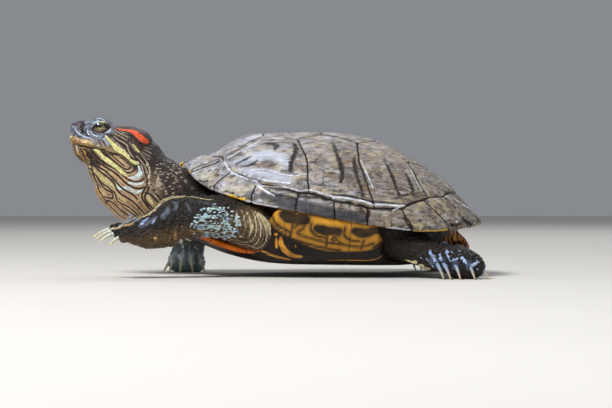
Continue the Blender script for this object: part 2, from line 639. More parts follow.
SHELL_CREAM = [
    [(219, 190.5, 3), (226, 190, 6), (236, 190, 7), (246, 188.5, 6), (252, 187, 3)],
    [(196, 176, 4), (204, 177, 6), (211, 178.5, 5)],
]
SHELL_DARK = [
    CREASE, [(266.7, 143.4, 2.7), (271.8, 143.6, 4.5), (276.9, 145.9, 4.7), (274.9, 149, 2.7)],
    [(293.8, 143.4, 2.7), (296.3, 149, 4.1), (293.8, 155.6, 3.7), (291.4, 162.8, 3.7), (290.2, 170.9, 2.7)],
    [(235.1, 164.3, 0.8), (243.3, 160.7, 1.2), (250.4, 156.6, 0.8)],
    [(241.2, 166.8, 0.6), (249.4, 165.3, 0.9), (257.6, 160.7, 0.6)],
    [(195.3, 181.1, 0.6), (201.4, 181.3, 1), (207.6, 181.1, 0.6)],
    [(223.9, 192.3, 0.8), (229, 192.9, 1.6), (233.1, 193.2, 0.8)],
    [(263.7, 188.3, 0.8), (269.8, 192.3, 1.2), (275.9, 195.4, 1.4), (286.1, 196.4, 1.6),
     (295.3, 198.5, 1.8)],
    [(265.7, 186.2, 0.6), (275.9, 188.3, 0.8), (288.2, 190.3, 0.9), (298.4, 193.2, 0.9), (310.6, 192.9, 1),
     (322.9, 196.4, 1), (335.1, 198.5, 1)],
    [(298.4, 196.4, 1), (306.5, 196.4, 1.4), (316.7, 197.7, 1.6), (331, 200, 1.4)],
    [(332, 142.3, 1.4), (335.1, 149.5, 2.7), (337.7, 154.6, 2.2)],
    [(332, 143.4, 1.4), (334.6, 146.4, 2.7), (337.1, 154.6, 3.1), (340.2, 163.8, 3.5), (342.2, 173, 3.5),
     (341, 182.1, 2)],
    [(354.5, 156.6, 1.6), (354.5, 165.8, 3.1), (356.7, 176, 2), (360.6, 186.2, 2), (362.9, 196.4, 1.6)],
    [(384.1, 160.7, 1), (389.2, 169.9, 2), (393.3, 179.1, 2.7), (396.8, 188.3, 1.8), (399.4, 196.4, 1.4)],
    [(406, 174, 1.2), (409.6, 182.1, 2.7), (413.2, 190.3, 2.2), (410.6, 193.9, 1.4)],
    [(330, 195.4, 1), (340.2, 195.4, 1.2), (355.5, 197.8, 1.2), (370.8, 201.7, 1.2), (383.1, 202.8, 1.2),
     (401.4, 204.1, 1.2), (411.6, 203.1, 1.2), (426.9, 198.7, 1.2)],
    [(336.1, 202.8, 0.8), (350.4, 202.8, 1.1), (362.7, 205.1, 1.2), (370.8, 208.2, 1), (383.1, 209.3, 1.2),
     (396.3, 209.5, 0.8)],
    [(395.3, 198.5, 0.8), (403.5, 195.4, 1.2), (414.7, 193.2, 1.2), (424.9, 191.3, 0.8)],
    [(462.7, 219.4, 1.6), (466.7, 221.9, 3.7), (470.8, 224.5, 3.1)],
    [(474.4, 214.8, 1.6), (476.9, 218.4, 3.5), (478.5, 221.9, 2.4)],
    [(444.3, 191.3, 0.8), (449.4, 193.9, 2), (455.5, 193.9, 1.6)],
    [(450.4, 225, 1.4), (455.5, 225.5, 2), (460.6, 223.5, 1)],
    [(404.5, 216.8, 1), (407.6, 223, 2.4), (411.6, 228.1, 1.6)],
    [(366.7, 207.7, 1.2), (368.8, 212.8, 2.7), (366.7, 219.9, 1.2)],
]
SHELL_YELLOW = [
    [(189.4, 171.3, 1.8), (191, 170.5, 1.4)],
    [(224, 192.8, 1.6), (229, 195, 3), (236, 198.2, 3.2), (241.5, 200.6, 1.8)],
    [(266.7, 207.9, 0.8), (273.9, 208.5, 2.2), (282, 209.7, 1.6), (288.2, 211.7, 1)],
    [(307.6, 217.3, 0.8), (317.8, 218.9, 2.2), (326.9, 221.4, 1.4)],
    [(381, 229.6, 1), (391.2, 229.6, 2.7), (403.5, 230.6, 2), (411.6, 230.8, 1.2)],
    [(409.6, 231, 1), (421.8, 231.2, 1.4), (438.2, 230.8, 1.6), (448.4, 229.4, 1)],
    [(476.9, 225.5, 1), (479.5, 223, 1)],
]

SHELL_MARKS = {
    "pale": SHELL_PALE, "dark": SHELL_DARK, "yellow": SHELL_YELLOW, "cream": SHELL_CREAM,
    "bright": SHELL_BRIGHT, "dusk": SHELL_DUSK, "crease": [CREASE],
}
YELLOW_TIP = 3.2  # reach of the yellow at the tip of the scute over the neck
STROKE_STEP = 1.2  # view pixels between the points of a laid stroke
camera_spot = Vector(CAMERA_AT)
camera_pitch = math.radians(90 - CAMERA_TILT)


def form_of(points, faces):
    return BVHTree.FromPolygons(points.tolist(), faces)


def smooth_path(rows, steps):
    """Catmull-Rom curve through rows of numbers, with its direction of travel."""
    rows = np.asarray(rows, float)
    padded = np.concatenate([[2 * rows[0] - rows[1]], rows, [2 * rows[-1] - rows[-2]]])
    values, slopes = [], []
    total = (len(rows) - 1) * steps
    for n in range(total + 1):
        i = min(n // steps, len(rows) - 2)
        t = n / steps - i
        a, b, c, d = padded[i:i + 4]
        values.append(0.5 * (2 * b + (c - a) * t + (2 * a - 5 * b + 4 * c - d) * t * t
                             + (3 * b - a - 3 * c + d) * t ** 3))
        slopes.append(0.5 * ((c - a) + 2 * (2 * a - 5 * b + 4 * c - d) * t
                             + 3 * (3 * b - a - 3 * c + d) * t * t))
    return np.array(values), np.array(slopes)


def laid_on(form, across, down, depth):
    """The form's point under a view pixel, or the nearest one when the line of sight passes it."""
    right, fall = (across - VIEW_WIDTH / 2) / FOCAL_PIXELS, (down - VIEW_HEIGHT / 2) / FOCAL_PIXELS
    look = Vector((right, 1.0, -math.tan(camera_pitch) - fall)).normalized()
    hit = form.ray_cast(camera_spot, look)
    if hit[0] is not None:
        return np.array(hit[0])
    beside = camera_spot + look * ((depth - CAMERA_AT[1]) / look.y)
    return np.array(form.find_nearest(beside)[0])


def marking(points, form, strokes, mirrored, depth=-20.0, fade=3.0):
    """How far inside the strokes each point lies, in millimetres; negative outside."""
    field = np.full(len(points), -fade)
    for stroke in strokes:
        soft = smooth_path(stroke, 8)[0]
        along = np.concatenate([[0], np.cumsum(np.hypot(*np.diff(soft[:, :2], axis=0).T))])
        at = np.linspace(0, along[-1], max(2, int(along[-1] / STROKE_STEP) + 1))
        line = np.stack([np.interp(at, along, soft[:, k]) for k in range(3)], 1)
        laid = np.array([laid_on(form, a, d, depth) for a, d, _ in line])
        half = line[:, 2] / 2 * (laid[:, 1] - CAMERA_AT[1]) / FOCAL_PIXELS
        for sign in ((1, -1) if mirrored else (1,)):
            path = laid * [1, sign, 1]
            low, high = path.min(0) - fade - half.max(), path.max(0) + fade + half.max()
            close = np.flatnonzero(((points > low) & (points < high)).all(1))
            if not len(close):
                continue
            a, ab = path[:-1], np.diff(path, axis=0)
            p = points[close][:, None] - a[None]
            t = np.clip((p * ab).sum(2) / np.maximum((ab * ab).sum(1), 1e-9), 0, 1)
            away = np.linalg.norm(p - ab * t[..., None], axis=2)
            width = half[:-1] + (half[1:] - half[:-1]) * t
            field[close] = np.maximum(field[close], (width - away).max(1))
    return field


def ragged_by(tree, noise_value, width):
    """Noise made to swing about zero, to be added to a marking's distance."""
    return combine(tree, "MULTIPLY", combine(tree, "SUBTRACT", noise_value, 0.5), width)


def inked(tree, name, soft, ragged, tone, dull, bright, mottle):
    """Lays one marking over a colour: its edge is ragged, its colour mottled between two."""
    edge = combine(tree, "ADD", read(tree, name), ragged)
    paint = blend_colours(tree, mottle, linear(*dull), linear(*bright))
    return blend_colours(tree, remap(tree, edge, -soft, soft), tone, paint)


def places_of(mesh):
    made = np.empty(len(mesh.vertices) * 3)
    mesh.vertices.foreach_get("co", made)
    return made.reshape(-1, 3) / MM - [SHELL_SHIFT, 0, 0]


def outward_of(mesh):
    made = np.empty(len(mesh.vertices) * 3, np.float32)
    mesh.vertex_normals.foreach_get("vector", made)
    return made.reshape(-1, 3).astype(float)


def settle(mesh, points):
    mesh.vertices.foreach_set("co", metres(points).ravel())
    mesh.update()


plates = {"vertebral_scutes": gather(vertebral_parts), "costal_scutes": gather(costal_parts),
          "marginal_scutes": gather(marginal_parts)}
starts = np.cumsum([0] + [len(made[0]) for made in plates.values()])
smooth_shell = {name: on_shell(made[3])[0] for name, made in plates.items()}
shell_form = form_of(
    np.concatenate(list(smooth_shell.values())),
    [tuple(start + v for v in face) for start, made in zip(starts, plates.values()) for face in made[1]])
for name, (points, faces, away, flat) in plates.items():
    made = put_in_scene(name, mesh_from(name, points, faces))
    store(made.data, "seam", away)
    below = np.hypot(flat[:, 0], flat[:, 1]) - per_ray(ray_edges, np.arctan2(flat[:, 1], flat[:, 0]))
    store(made.data, "below_edge", below)
    fields = {key: marking(smooth_shell[name], shell_form, strokes, True, -60.0)
              for key, strokes in SHELL_MARKS.items()}
    tip = points[np.argmin(points[:, 0])]
    tipped = YELLOW_TIP - np.linalg.norm((points - tip) * [1, 0.55, 1], axis=1)
    if name == "marginal_scutes":
        fields["yellow"] = np.maximum(fields["yellow"], np.maximum(tipped, -3))
    for key, values in fields.items():
        store(made.data, key, values)
    # the pale lines stand up as ridges of horn, the dark ones are worn in
    lift = 0.15 * smoothstep(-0.4, 0.5, fields["pale"]) - 0.12 * smoothstep(-0.6, 0.6, fields["dark"])
    lift -= 0.35 * smoothstep(-0.5, 0.4, fields["crease"])
    settle(made.data, points + outward_of(made.data) * lift[:, None])
    horn, tree, shader = new_material(name + "_horn", 0.38, 0.22)
    place = add_node(tree, "ShaderNodeTexCoord").outputs["Object"]
    rearward = remap(tree, add_node(tree, "ShaderNodeSeparateXYZ", {0: place}).outputs[0], -0.03, 0.07)
    dull = blend_colours(tree, rearward, linear(99, 95, 97), linear(84, 76, 68))
    clear = blend_colours(tree, rearward, linear(164, 162, 169), linear(141, 131, 119))
    cloud = remap(tree, grain(tree, 38, 6, (1, 1, 1.2), 0.62), 0.38, 0.62)
    patches = blend_colours(tree, cloud, dull, clear)
    spots = remap(tree, grain(tree, 170, 5, (0.8, 1, 1), 0.65), 0.5, 0.62)
    spot_tone = blend_colours(tree, rearward, linear(176, 166, 146), linear(158, 144, 118))
    patches = blend_colours(tree, spots, patches, spot_tone)
    tan = remap(tree, grain(tree, 120, 5, (0.7, 1, 1.2), 0.65), 0.56, 0.66)
    patches = blend_colours(tree, tan, patches, linear(118, 98, 74))
    sheen = remap(tree, grain(tree, 340, 6, (0.3, 1, 1), 0.65), 0.52, 0.66)
    sheen = combine(tree, "MULTIPLY", sheen, remap(tree, rearward, 0, 1, 0.9, 0.45))
    patches = blend_colours(tree, sheen, patches, linear(195, 199, 214))
    streak = remap(tree, grain(tree, 520, 7, (0.24, 1, 1), 0.7), 0.53, 0.6)
    tone = blend_colours(tree, combine(tree, "MULTIPLY", streak, 0.9), patches, linear(52, 46, 42))
    slant = remap(tree, grain(tree, 300, 6, (1.2, 1, 0.22), 0.65), 0.56, 0.64)
    slant = combine(tree, "MULTIPLY", slant, remap(tree, rearward, 0.2, 0.6, 0, 0.8))
    tone = blend_colours(tree, slant, tone, linear(60, 50, 44))
    ragged = ragged_by(tree, grain(tree, 420, 5, (0.6, 1, 1), 0.65), 4.0)
    slight = combine(tree, "MULTIPLY", ragged, 0.35)
    mottle = remap(tree, grain(tree, 500, 5, (0.4, 1, 1)), 0.35, 0.65)
    lit = blend_colours(tree, 0.5, tone, linear(206, 216, 236))
    bright = remap(tree, combine(tree, "ADD", read(tree, "bright"), ragged), -2.5, 2.5)
    tone = blend_colours(tree, bright, tone, lit)
    dusky = blend_colours(tree, 0.88, tone, linear(40, 42, 50))
    dusk = remap(tree, combine(tree, "ADD", read(tree, "dusk"), ragged), -1.5, 1.5)
    tone = blend_colours(tree, dusk, tone, dusky)
    tone = inked(tree, "cream", 2.2, ragged, tone, (148, 142, 128), (208, 202, 182), mottle)
    worn = combine(tree, "ADD", combine(tree, "MULTIPLY", ragged, 0.95), 0.4)
    tone = inked(tree, "dark", 0.6, worn, tone, (10, 9, 8), (46, 40, 36), mottle)
    tone = inked(tree, "yellow", 0.3, slight, tone, (206, 150, 40), (244, 200, 70), mottle)
    tone = inked(tree, "crease", 0.25, slight, tone, (46, 38, 34), (60, 50, 44), mottle)
    tone = blend_colours(tree, remap(tree, read(tree, "seam"), 0.15, 0.8), linear(26, 21, 19), tone)
    wider = combine(tree, "ADD", slight, 0.08)
    tone = inked(tree, "pale", 0.25, wider, tone, (164, 164, 176), (232, 236, 248), mottle)
    if name == "marginal_scutes":
        blots = remap(tree, grain(tree, 60), 0.45, 0.55)
        under = blend_colours(tree, blots, linear(196, 142, 60), linear(60, 44, 28))
        tone = blend_colours(tree, remap(tree, read(tree, "below_edge"), 2.2, 3.2), tone, under)
    tree.links.new(tone, shader.inputs["Base Color"])
    relief = bumped(tree, shader, grain(tree, 460, 7, (0.2, 1, 1), 0.65), 0.0009)
    relief = bumped(tree, shader, grain(tree, 150, 4, (0.8, 1, 1)), 0.0008, relief)
    bumped(tree, shader, grain(tree, 1500, 4, (0.5, 1, 1)), 0.0002, relief)
    made.data.materials.append(horn)
    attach(made, "root")
    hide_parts("carapace")

# ---------------------------------------------------------------- plastron
# Flat bone and horn under the belly, risen on both flanks to the carapace as the bridge.
# Six pairs of scutes lie on it, parted by a middle seam and five cross seams.
BELLY = [[-88, 23.2], [-74, 17.4], [-60, 12.4], [-42, 8.7], [-20, 7.2], [40, 6.6], [62, 9], [79, 14]]
PLATE = [[-88, 17], [-74, 33], [-56, 40], [-20, 45], [30, 44], [50, 36], [66, 30], [79, 15]]
PLATE_THICKNESS = 4.0
LOBE_CURL = 3.2  # the edges of the front lobe curl up by this much
BRIDGE_FRONT, BRIDGE_REAR = (-50, -30), (36, 26)
BRIDGE_GAP = 1.5  # the bridge stops this far inside and below the carapace
BELLY_SEAMS = [-74, -55, -27, 10, 44]  # where the cross seams meet the middle one
BELLY_STATION = 0.65
BELLY_FLAT = 26  # points across half the flat of the plate
BELLY_FINE, INNER_EVERY = 36, 4  # steps round the bridge; the hidden inner face takes fewer
BELLY_GROOVE, GROOVE_WIDTH = 0.6, 1.3


def bridge_share(x):
    return min(float(smoothstep(*ramp, x)) for ramp in (BRIDGE_FRONT, BRIDGE_REAR))


def belly_section(x):
    """Half of the section at x: the outer face from the middle outward, then back along the inner."""
    low, plate = float(through(BELLY, x)), float(through(PLATE, x))
    reach = float(outline_half_width(np.array(x))) - TOOTH - BRIDGE_GAP - plate
    rise = float(through(RIM, x)) - low - BRIDGE_GAP
    share = bridge_share(x)
    curl = LOBE_CURL * float(smoothstep(-36, -50, x) * smoothstep(-91, -82, x))
    outer = [[plate * t, low + (1 + curl) * t ** 4] for t in np.linspace(0, 1, BELLY_FLAT)]
    inner = [[plate * t, low + PLATE_THICKNESS + curl * t ** 4] for t in (0, 0.3, 0.6, 0.85)]

    def between(flat, risen):
        return [flat[k] + (risen[k] - flat[k]) * share for k in (0, 1)]
    for step, t in enumerate(np.linspace(0, 1, BELLY_FINE + 1)[1:], 1):
        turn = t * math.pi / 2
        risen = [plate + reach * math.sin(turn), low + BRIDGE_GAP + rise * (1 - math.cos(turn))]
        outer.append(between([plate + 0.8 * t, low + curl + 1 + 1.5 * t], risen))
        if step % INNER_EVERY:
            continue
        lift = 0.8 * PLATE_THICKNESS * (1 - t)
        inner.append(between([plate - 1.2 + t, low + curl + PLATE_THICKNESS - 0.1 * t],
                             [risen[0] - PLATE_THICKNESS, risen[1] + lift]))
    return outer + inner[::-1]


stations = np.arange(-88, 79 + BELLY_STATION / 2, BELLY_STATION)
belly_rings = []
for x in stations:
    half = belly_section(x)
    ring = [(x, -y, z) for y, z in half] + [(x, y, z) for y, z in half[::-1]]
    belly_rings.append(ring)
points = np.array(belly_rings)
rows, count = points.shape[:2]
outer_count = BELLY_FLAT + BELLY_FINE
is_outer = np.zeros(count, bool)
is_outer[:outer_count] = is_outer[-outer_count:] = True
across = np.abs(points[..., 1])
cross = np.min([np.abs(points[..., 0] - s + 5 * np.sin(across / 30 * np.pi) * (1 if s < 0 else -0.5))
                for s in BELLY_SEAMS], axis=0)
bridge_seam = np.abs(across - through(PLATE, points[..., 0]) * 0.98)
bridge_seam[np.abs(points[..., 0]) > 36] = 9
seam_away = np.minimum(np.minimum(across, cross), bridge_seam)
points[..., 2] += np.where(is_outer, BELLY_GROOVE * (1 - smoothstep(0, GROOVE_WIDTH, seam_away)), 0)
flat_points = points.reshape(-1, 3)
ends = np.array([flat_points[:count].mean(0), flat_points[-count:].mean(0)])
faces = rings_to_faces(rows, count)
total = len(flat_points)
faces += [(total, (s + 1) % count, s) for s in range(count)]
faces += [(total + 1, total - count + s, total - count + (s + 1) % count) for s in range(count)]
BELLY_DARK = [
    [(283.6, 214.8, 8.2), (288.2, 217.3, 10.2), (293.3, 218.4, 9.2), (305.5, 219.9, 9.2)],
    [(272.3, 209.7, 1), (273.1, 218.9, 1.8), (278, 225.5, 2), (286.1, 230.1, 1.8), (291.2, 233.2, 1.2)],
    [(268.8, 214.8, 0.8), (270.8, 223, 1.1), (278, 230.1, 1.2), (286.1, 234.7, 1)],
    [(294.1, 211.7, 1.2), (293.1, 223, 1.4), (290.2, 235.2, 1.2)],
    [(294.3, 228.1, 0.8), (298.4, 224.5, 1.4), (304, 225.5, 1.4), (302.4, 229.1, 1), (297.3, 232.1, 1),
     (300.4, 235.2, 1), (310.6, 238.3, 1.2), (324.9, 242.3, 1.2), (339.2, 244.4, 1.2)],
    [(316.7, 228.1, 6.1), (322.9, 230.1, 9.2), (328, 231.1, 8.2), (339.2, 231.1, 6.1)],
    [(311.6, 223, 1), (310.8, 229.1, 1.6), (315.7, 235.2, 1.8), (325.9, 238.3, 1.4)],
    [(327.4, 235.2, 1.2), (326.1, 247.4, 1.2)], [(331, 240.3, 0.8), (335.1, 236.2, 1.4), (340, 235.2, 1.4)],
    [(267.8, 223, 0.8), (273.9, 230.1, 1.8), (282, 235.7, 2.2), (297.3, 240.8, 2), (312.7, 245.4, 1.6),
     (328, 248.7, 1.4), (339.2, 250.3, 1.4)], [(274.4, 234.7, 5.1), (275.9, 236.2, 5.7)],
    [(286.1, 241.3, 6.1), (294.3, 246.4, 11.2), (305.5, 250.5, 11.2), (317.8, 254.6, 12.2),
     (329, 256.6, 12.2), (340, 257.7, 12.2)], [(256, 257.6, 3.5), (271.8, 258.9, 4.1), (282, 260.7, 4.7)],
    [(250, 253.4, 1.4), (257.6, 252.6, 3.1), (271.8, 251.5, 3.1)],
    [(354.5, 231.1, 6.1), (360.6, 232.7, 9.2), (365.7, 233.2, 8.2), (374.9, 230.6, 6.1), (381, 230.6, 4.1)],
    [(345.3, 227.6, 1), (344.3, 235.2, 1.6), (350.4, 240.3, 1.6), (359.6, 241.3, 1.2)],
    [(330, 230.1, 6.1), (336.1, 230.6, 2)],
    [(332, 243.4, 0.8), (336.1, 239.3, 1.2), (339.2, 242.3, 1), (346.3, 245.4, 1.1), (362.7, 246.4, 1.1),
     (373.9, 243.4, 0.9)], [(363.7, 240.3, 1.2), (361.1, 248.5, 1.2)],
    [(330, 256.6, 12.2), (345.3, 256.6, 11.2), (360.6, 256.1, 11.2), (373.9, 254.6, 11.2),
     (383.1, 250.5, 9.2), (391.2, 257.7, 12.2), (401.4, 261.7, 8.2)],
    [(373.9, 247.4, 2), (383.1, 242.3, 2.7), (391.2, 239.3, 2.7)],
]
GLOW_EDGE = [  # the front lobe is orange above it, nearly black below
    [186, 233.5], [194, 236], [201.4, 238.8], [210.6, 243.4], [220.8, 247.2], [231, 250.3], [241.2, 252.8],
    [250, 253.6], [256, 252.6], [262, 250],
]
GLOW_END = 260.0
BELLY_OCHRE = [
    [(280.8, 238, 3.6), (281.3, 244.1, 5.1), (284.9, 250.2, 6.1), (292, 255.3, 5.6), (301.2, 256.8, 3.6)],
    [(262, 251, 2.4), (270, 254.6, 3.4), (280, 257.6, 3), (290, 259.6, 2)],
    [(276.2, 239, 2.2), (276.7, 247.1, 3.2)], [(274.9, 234.4, 2.6), (276.4, 234.6, 2.8)],
    [(295.2, 244.8, 1.4), (295.6, 247, 1.6)],
    [(328.8, 260.4, 1.2), (348.2, 260.2, 1.5), (365.5, 260.6, 1.7), (376.7, 258.9, 1.8),
     (381.8, 255.8, 1.4)],
]
BELLY_LINE = [
    [(258, 262, 1), (271.8, 263, 2.6), (290, 263.8, 3), (310, 264.4, 3)],
    [(247, 249.6, 1), (258, 252.6, 1.6), (271.8, 254.4, 1.4), (284, 259.6, 1.4)],
]
LOW_EDGE = [  # above it the bridge is yellow, below it nearly black
    [258, 200], [262, 206], [266.5, 212], [268.5, 220], [273.7, 227.5], [283.9, 235], [295.1, 240],
    [305.3, 245.6], [315.5, 249.2], [327.8, 251.3], [352.2, 251.5], [367.6, 250.5], [380.8, 245],
    [388, 240.5], [400, 235],
]
PIXEL_SIZE = 0.61  # millimetres to a view pixel at the animal


def seen_at(points):
    """View pixel of each point, the right-hand side taken as the mirror of the left."""
    far = FOCAL_PIXELS / (-CAMERA_AT[1] - np.abs(points[:, 1]))
    return np.stack([VIEW_MIDDLE[0] + (points[:, 0] - CAMERA_AT[0]) * far,
                     VIEW_MIDDLE[1] - (points[:, 2] - CAMERA_AT[2]) * far], 1)


belly_points = np.concatenate([flat_points, ends])
plastron = put_in_scene("plastron_scutes", mesh_from("plastron_scutes", belly_points, faces))
belly_form = form_of(belly_points, faces)
pixel = seen_at(belly_points)
low = (pixel[:, 1] - through(LOW_EDGE, pixel[:, 0])) * PIXEL_SIZE - 8 * smoothstep(262, 256, pixel[:, 0])
low -= 8 * smoothstep(40, 33, np.abs(belly_points[:, 1]))
below_glow = (pixel[:, 1] - through(GLOW_EDGE, pixel[:, 0])) * PIXEL_SIZE
on_lobe = (GLOW_END - pixel[:, 0]) * PIXEL_SIZE
store(plastron.data, "glow", np.clip(np.minimum(-below_glow, on_lobe), -3, 3))
low = np.maximum(low, np.minimum(below_glow, (GLOW_END + 6 - pixel[:, 0]) * PIXEL_SIZE))
store(plastron.data, "low", np.clip(low, -4, 4))
for key, strokes in (("dark", BELLY_DARK), ("ochre", BELLY_OCHRE), ("line", BELLY_LINE)):
    store(plastron.data, key, marking(belly_points, belly_form, strokes, True, -45.0))
flank = np.abs(flat_points[:, 1]) - through(PLATE, flat_points[:, 0])
store(plastron.data, "flank", np.concatenate([flank, [-9, -9]]))
store(plastron.data, "seam", np.concatenate([seam_away.ravel(), [5, 5]]))
belly_horn, tree, shader = new_material("plastron_horn", 0.36, 0.22)
cloud = remap(tree, grain(tree, 60, 4), 0.35, 0.65)
tone = blend_colours(tree, cloud, linear(168, 112, 30), linear(214, 158, 52))
blots = remap(tree, grain(tree, 34, 2, (1, 1.3, 1)), 0.52, 0.58)
blots = combine(tree, "MULTIPLY", blots, remap(tree, read(tree, "flank"), -2.0, -4.0))
tone = blend_colours(tree, blots, tone, linear(56, 40, 27))
ragged = ragged_by(tree, grain(tree, 300, 4), 0.9)
mottle = remap(tree, grain(tree, 240, 5, (0.5, 1, 1)), 0.35, 0.65)
halo = remap(tree, combine(tree, "ADD", read(tree, "dark"), ragged), -2.2, -0.1, 0, 0.78)
tone = blend_colours(tree, halo, tone, linear(108, 76, 31))
for key, soft, dull, bright in (
        ("dark", 0.5, (28, 20, 11), (58, 42, 21)), ("low", 0.8, (12, 9, 7), (34, 24, 15)),
        ("ochre", 0.3, (168, 106, 34), (214, 156, 60)), ("glow", 0.3, (196, 88, 6), (232, 124, 22)),
        ("line", 0.2, (18, 13, 10), (48, 34, 22))):
    edge = combine(tree, "ADD", ragged, 0.2) if key == "dark" else ragged
    tone = inked(tree, key, soft, edge, tone, dull, bright, mottle)
tone = blend_colours(tree, remap(tree, read(tree, "seam"), 0.1, 0.5), linear(52, 36, 22), tone)
tree.links.new(tone, shader.inputs["Base Color"])
relief = bumped(tree, shader, grain(tree, 260, 5, (0.3, 1, 1)), 0.0005)
bumped(tree, shader, grain(tree, 1400, 3), 0.0001, relief)
plastron.data.materials.append(belly_horn)
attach(plastron, "root")
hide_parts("plastron")

# ---------------------------------------------------------------- flesh
# One skin over the neck, head, limbs and tail: soft, finely scaled hide with no seam. Lofts of
# oval sections are melted into one body, which is then pinched, folded and scaled.
NECK = [
    [-70, 0, 42, 17, 22], [-84, 0, 45, 20, 24], [-97, 0, 47.2, 21, 23], [-112, 0, 51.8, 23.8, 21.5],
    [-124, 0, 60.8, 24.2, 19.3], [-131.5, 0, 69.2, 21.4, 17], [-140, 0, 77, 15, 13], [-146, 0, 81, 7, 8],
]
FRONT_LEG_LEFT = [
    [-27, -35.5, 25.5, 12.6, 14.5], [-44, -42, 30.2, 14.6, 15.8], [-62, -45, 35.6, 13, 13.5],
    [-78, -48.5, 36.4, 12.2, 11.5], [-90, -52, 34, 12.6, 10], [-98, -54.5, 31, 12.8, 9.3],
    [-107, -57, 27.6, 10.4, 9], [-114.5, -58.5, 27, 7.8, 9.5], [-119.5, -59, 26.8, 5.6, 10.2],
    [-123.5, -59.3, 26, 3.8, 9.4], [-126.5, -59.5, 25.5, 1.8, 6.5],
]
FRONT_LEG_RIGHT = [
    [-34, 34, 29, 12, 14], [-50, 40, 33, 13.5, 14.5], [-66, 47, 33.5, 12.5, 12.5],
    [-79, 53.5, 29.5, 10.6, 11], [-87, 56, 22.5, 9.6, 9.2], [-89.5, 53.5, 15.5, 9.6, 7.4],
    [-90.5, 49.5, 10.5, 10.8, 6.2], [-91, 46, 4.6, 11.4, 5.4], [-91.3, 43.4, 0.6, 9.4, 3.6],
]
HIND_LEG = [
    [20, 30, 26, 12, 14], [34, 38, 24, 13, 15], [47, 47, 19.5, 10.4, 13], [56, 53, 15.5, 8.8, 11],
    [62, 56.5, 13.2, 8.4, 10.2], [69, 59, 11.8, 8.7, 10.6], [77, 60.5, 8.6, 9.6, 10.8],
    [84, 60.5, 6.6, 7.6, 9.4], [88, 60, 5, 4, 6.6],
]
HIND_RIGHT_SHIFT = -9
TAIL = [
    [50, 0, 23, 9, 12], [63, 0, 22.5, 8.6, 10], [72, -2, 21.5, 7.4, 8], [79, -8, 18.5, 5, 5.4],
    [80.5, -16, 14.5, 3.4, 3.4], [77.5, -23, 11.5, 1.3, 1.3],
]
# [x, z below, z above, half width] from the snout back to where the head sits in the neck
HEAD = [
    [-159.2, 80, 89.5, 3], [-158.4, 76.8, 92.8, 5.6], [-156, 72.4, 94.2, 7.8], [-152, 68.4, 94.7, 9.8],
    [-148, 65.8, 94.3, 11.4], [-143.5, 64.6, 95.2, 12.6], [-139, 64, 94.4, 13.3],
    [-134, 63.6, 92.2, 14.2], [-129, 63.4, 91.2, 15.3], [-122, 63, 90.8, 15.4],
    [-116, 62.4, 86.6, 13.6], [-111.5, 62, 81, 9],
]
HEAD_SQUARENESS = 2.35
EYE_AT = np.array([-140.4, 7.2, 89.9])  # the left eye has the same y with a minus
EYE_RADIUS = 5.7
TRUNK_SIDES = [(0.84, 0.5), (0.74, 0.88), (0.58, 1), (0.04, 1)]
TOES = {
    "front_left": [
        [[-121, -52, 29], [-139.2, -48, 25]], [[-122, -55.5, 28.6], [-140.5, -53.5, 24.2]],
        [[-122, -59, 27.4], [-138.5, -59.6, 23]], [[-121, -62.5, 25.8], [-135.3, -65.5, 22]],
        [[-119, -65.5, 24.2], [-129.5, -69.5, 19.6]]],
    "front_right": [
        [[-97, 50, 8.5], [-105.5, 46, 0.1]], [[-96, 48, 10], [-101.5, 40, 0.1]],
        [[-92.5, 47.5, 10.5], [-94.5, 37.5, 0.1]], [[-88.5, 47.5, 10.5], [-86.5, 37.5, 0.1]],
        [[-84.5, 48.5, 9], [-79, 41.5, 0.1]]],
    "hind_right": [
        [[58.5, 61, 12], [65, 73.5, 0.1]], [[62, 62, 12.5], [69, 75, 0.1]],
        [[69, 63.5, 12.5], [74.5, 76, 0.1]], [[77, 64, 11.5], [83, 75, 0.1]],
        [[82.5, 61, 9], [91.5, 69, 0.1]]],
}
TOE_RADIUS, CLAW_RADIUS, CLAW_TIP = 2.9, 1.35, 0.35
CLAW_SHARE, CLAW_ARCH = 0.56, 1.6
TOES["hind_left"] = [[[x, -y, z] for x, y, z in pair] for pair in TOES["hind_right"]]
TOES["hind_right"] = [[[x + HIND_RIGHT_SHIFT, y, z] for x, y, z in pair] for pair in TOES["hind_right"]]
LIMBS = {
    "front_left": FRONT_LEG_LEFT, "front_right": FRONT_LEG_RIGHT,
    "hind_left": [[x, -y, z, h, w] for x, y, z, h, w in HIND_LEG],
    "hind_right": [[x + HIND_RIGHT_SHIFT, y, z, h, w] for x, y, z, h, w in HIND_LEG],
}
SKIN_VOXEL = 1.07
HIDDEN_SHARE = 0.66  # inside this share of the shell's radius no flesh shows, so its mesh is coarse
HIDDEN_THINNING = 0.93  # share of the hidden faces that goes


def limb_frames(sections, steps=6):
    """Centre, across, up and half sizes of each ring of a loft."""
    values, slopes = smooth_path(sections, steps)
    along = slopes[:, :3] / np.linalg.norm(slopes[:, :3], axis=1, keepdims=True)
    across = np.array([0, 1, 0]) - along * along[:, 1:2]
    across /= np.linalg.norm(across, axis=1, keepdims=True)
    return values[:, :3], along, across, np.cross(across, along), values[:, 3:5]


def rounded(angle, squareness=2.0):
    def one(value):
        return np.sign(value) * np.abs(value) ** (2 / squareness)
    return one(np.cos(angle)), one(np.sin(angle))


def loft(sections, sides=28, steps=6):
    centre, along, across, up, size = limb_frames(sections, steps)
    side, rise = rounded(np.arange(sides) / sides * 2 * np.pi)
    return (centre[:, None] + up[:, None] * (size[:, :1] * rise)[..., None]
            + across[:, None] * (size[:, 1:] * side)[..., None])


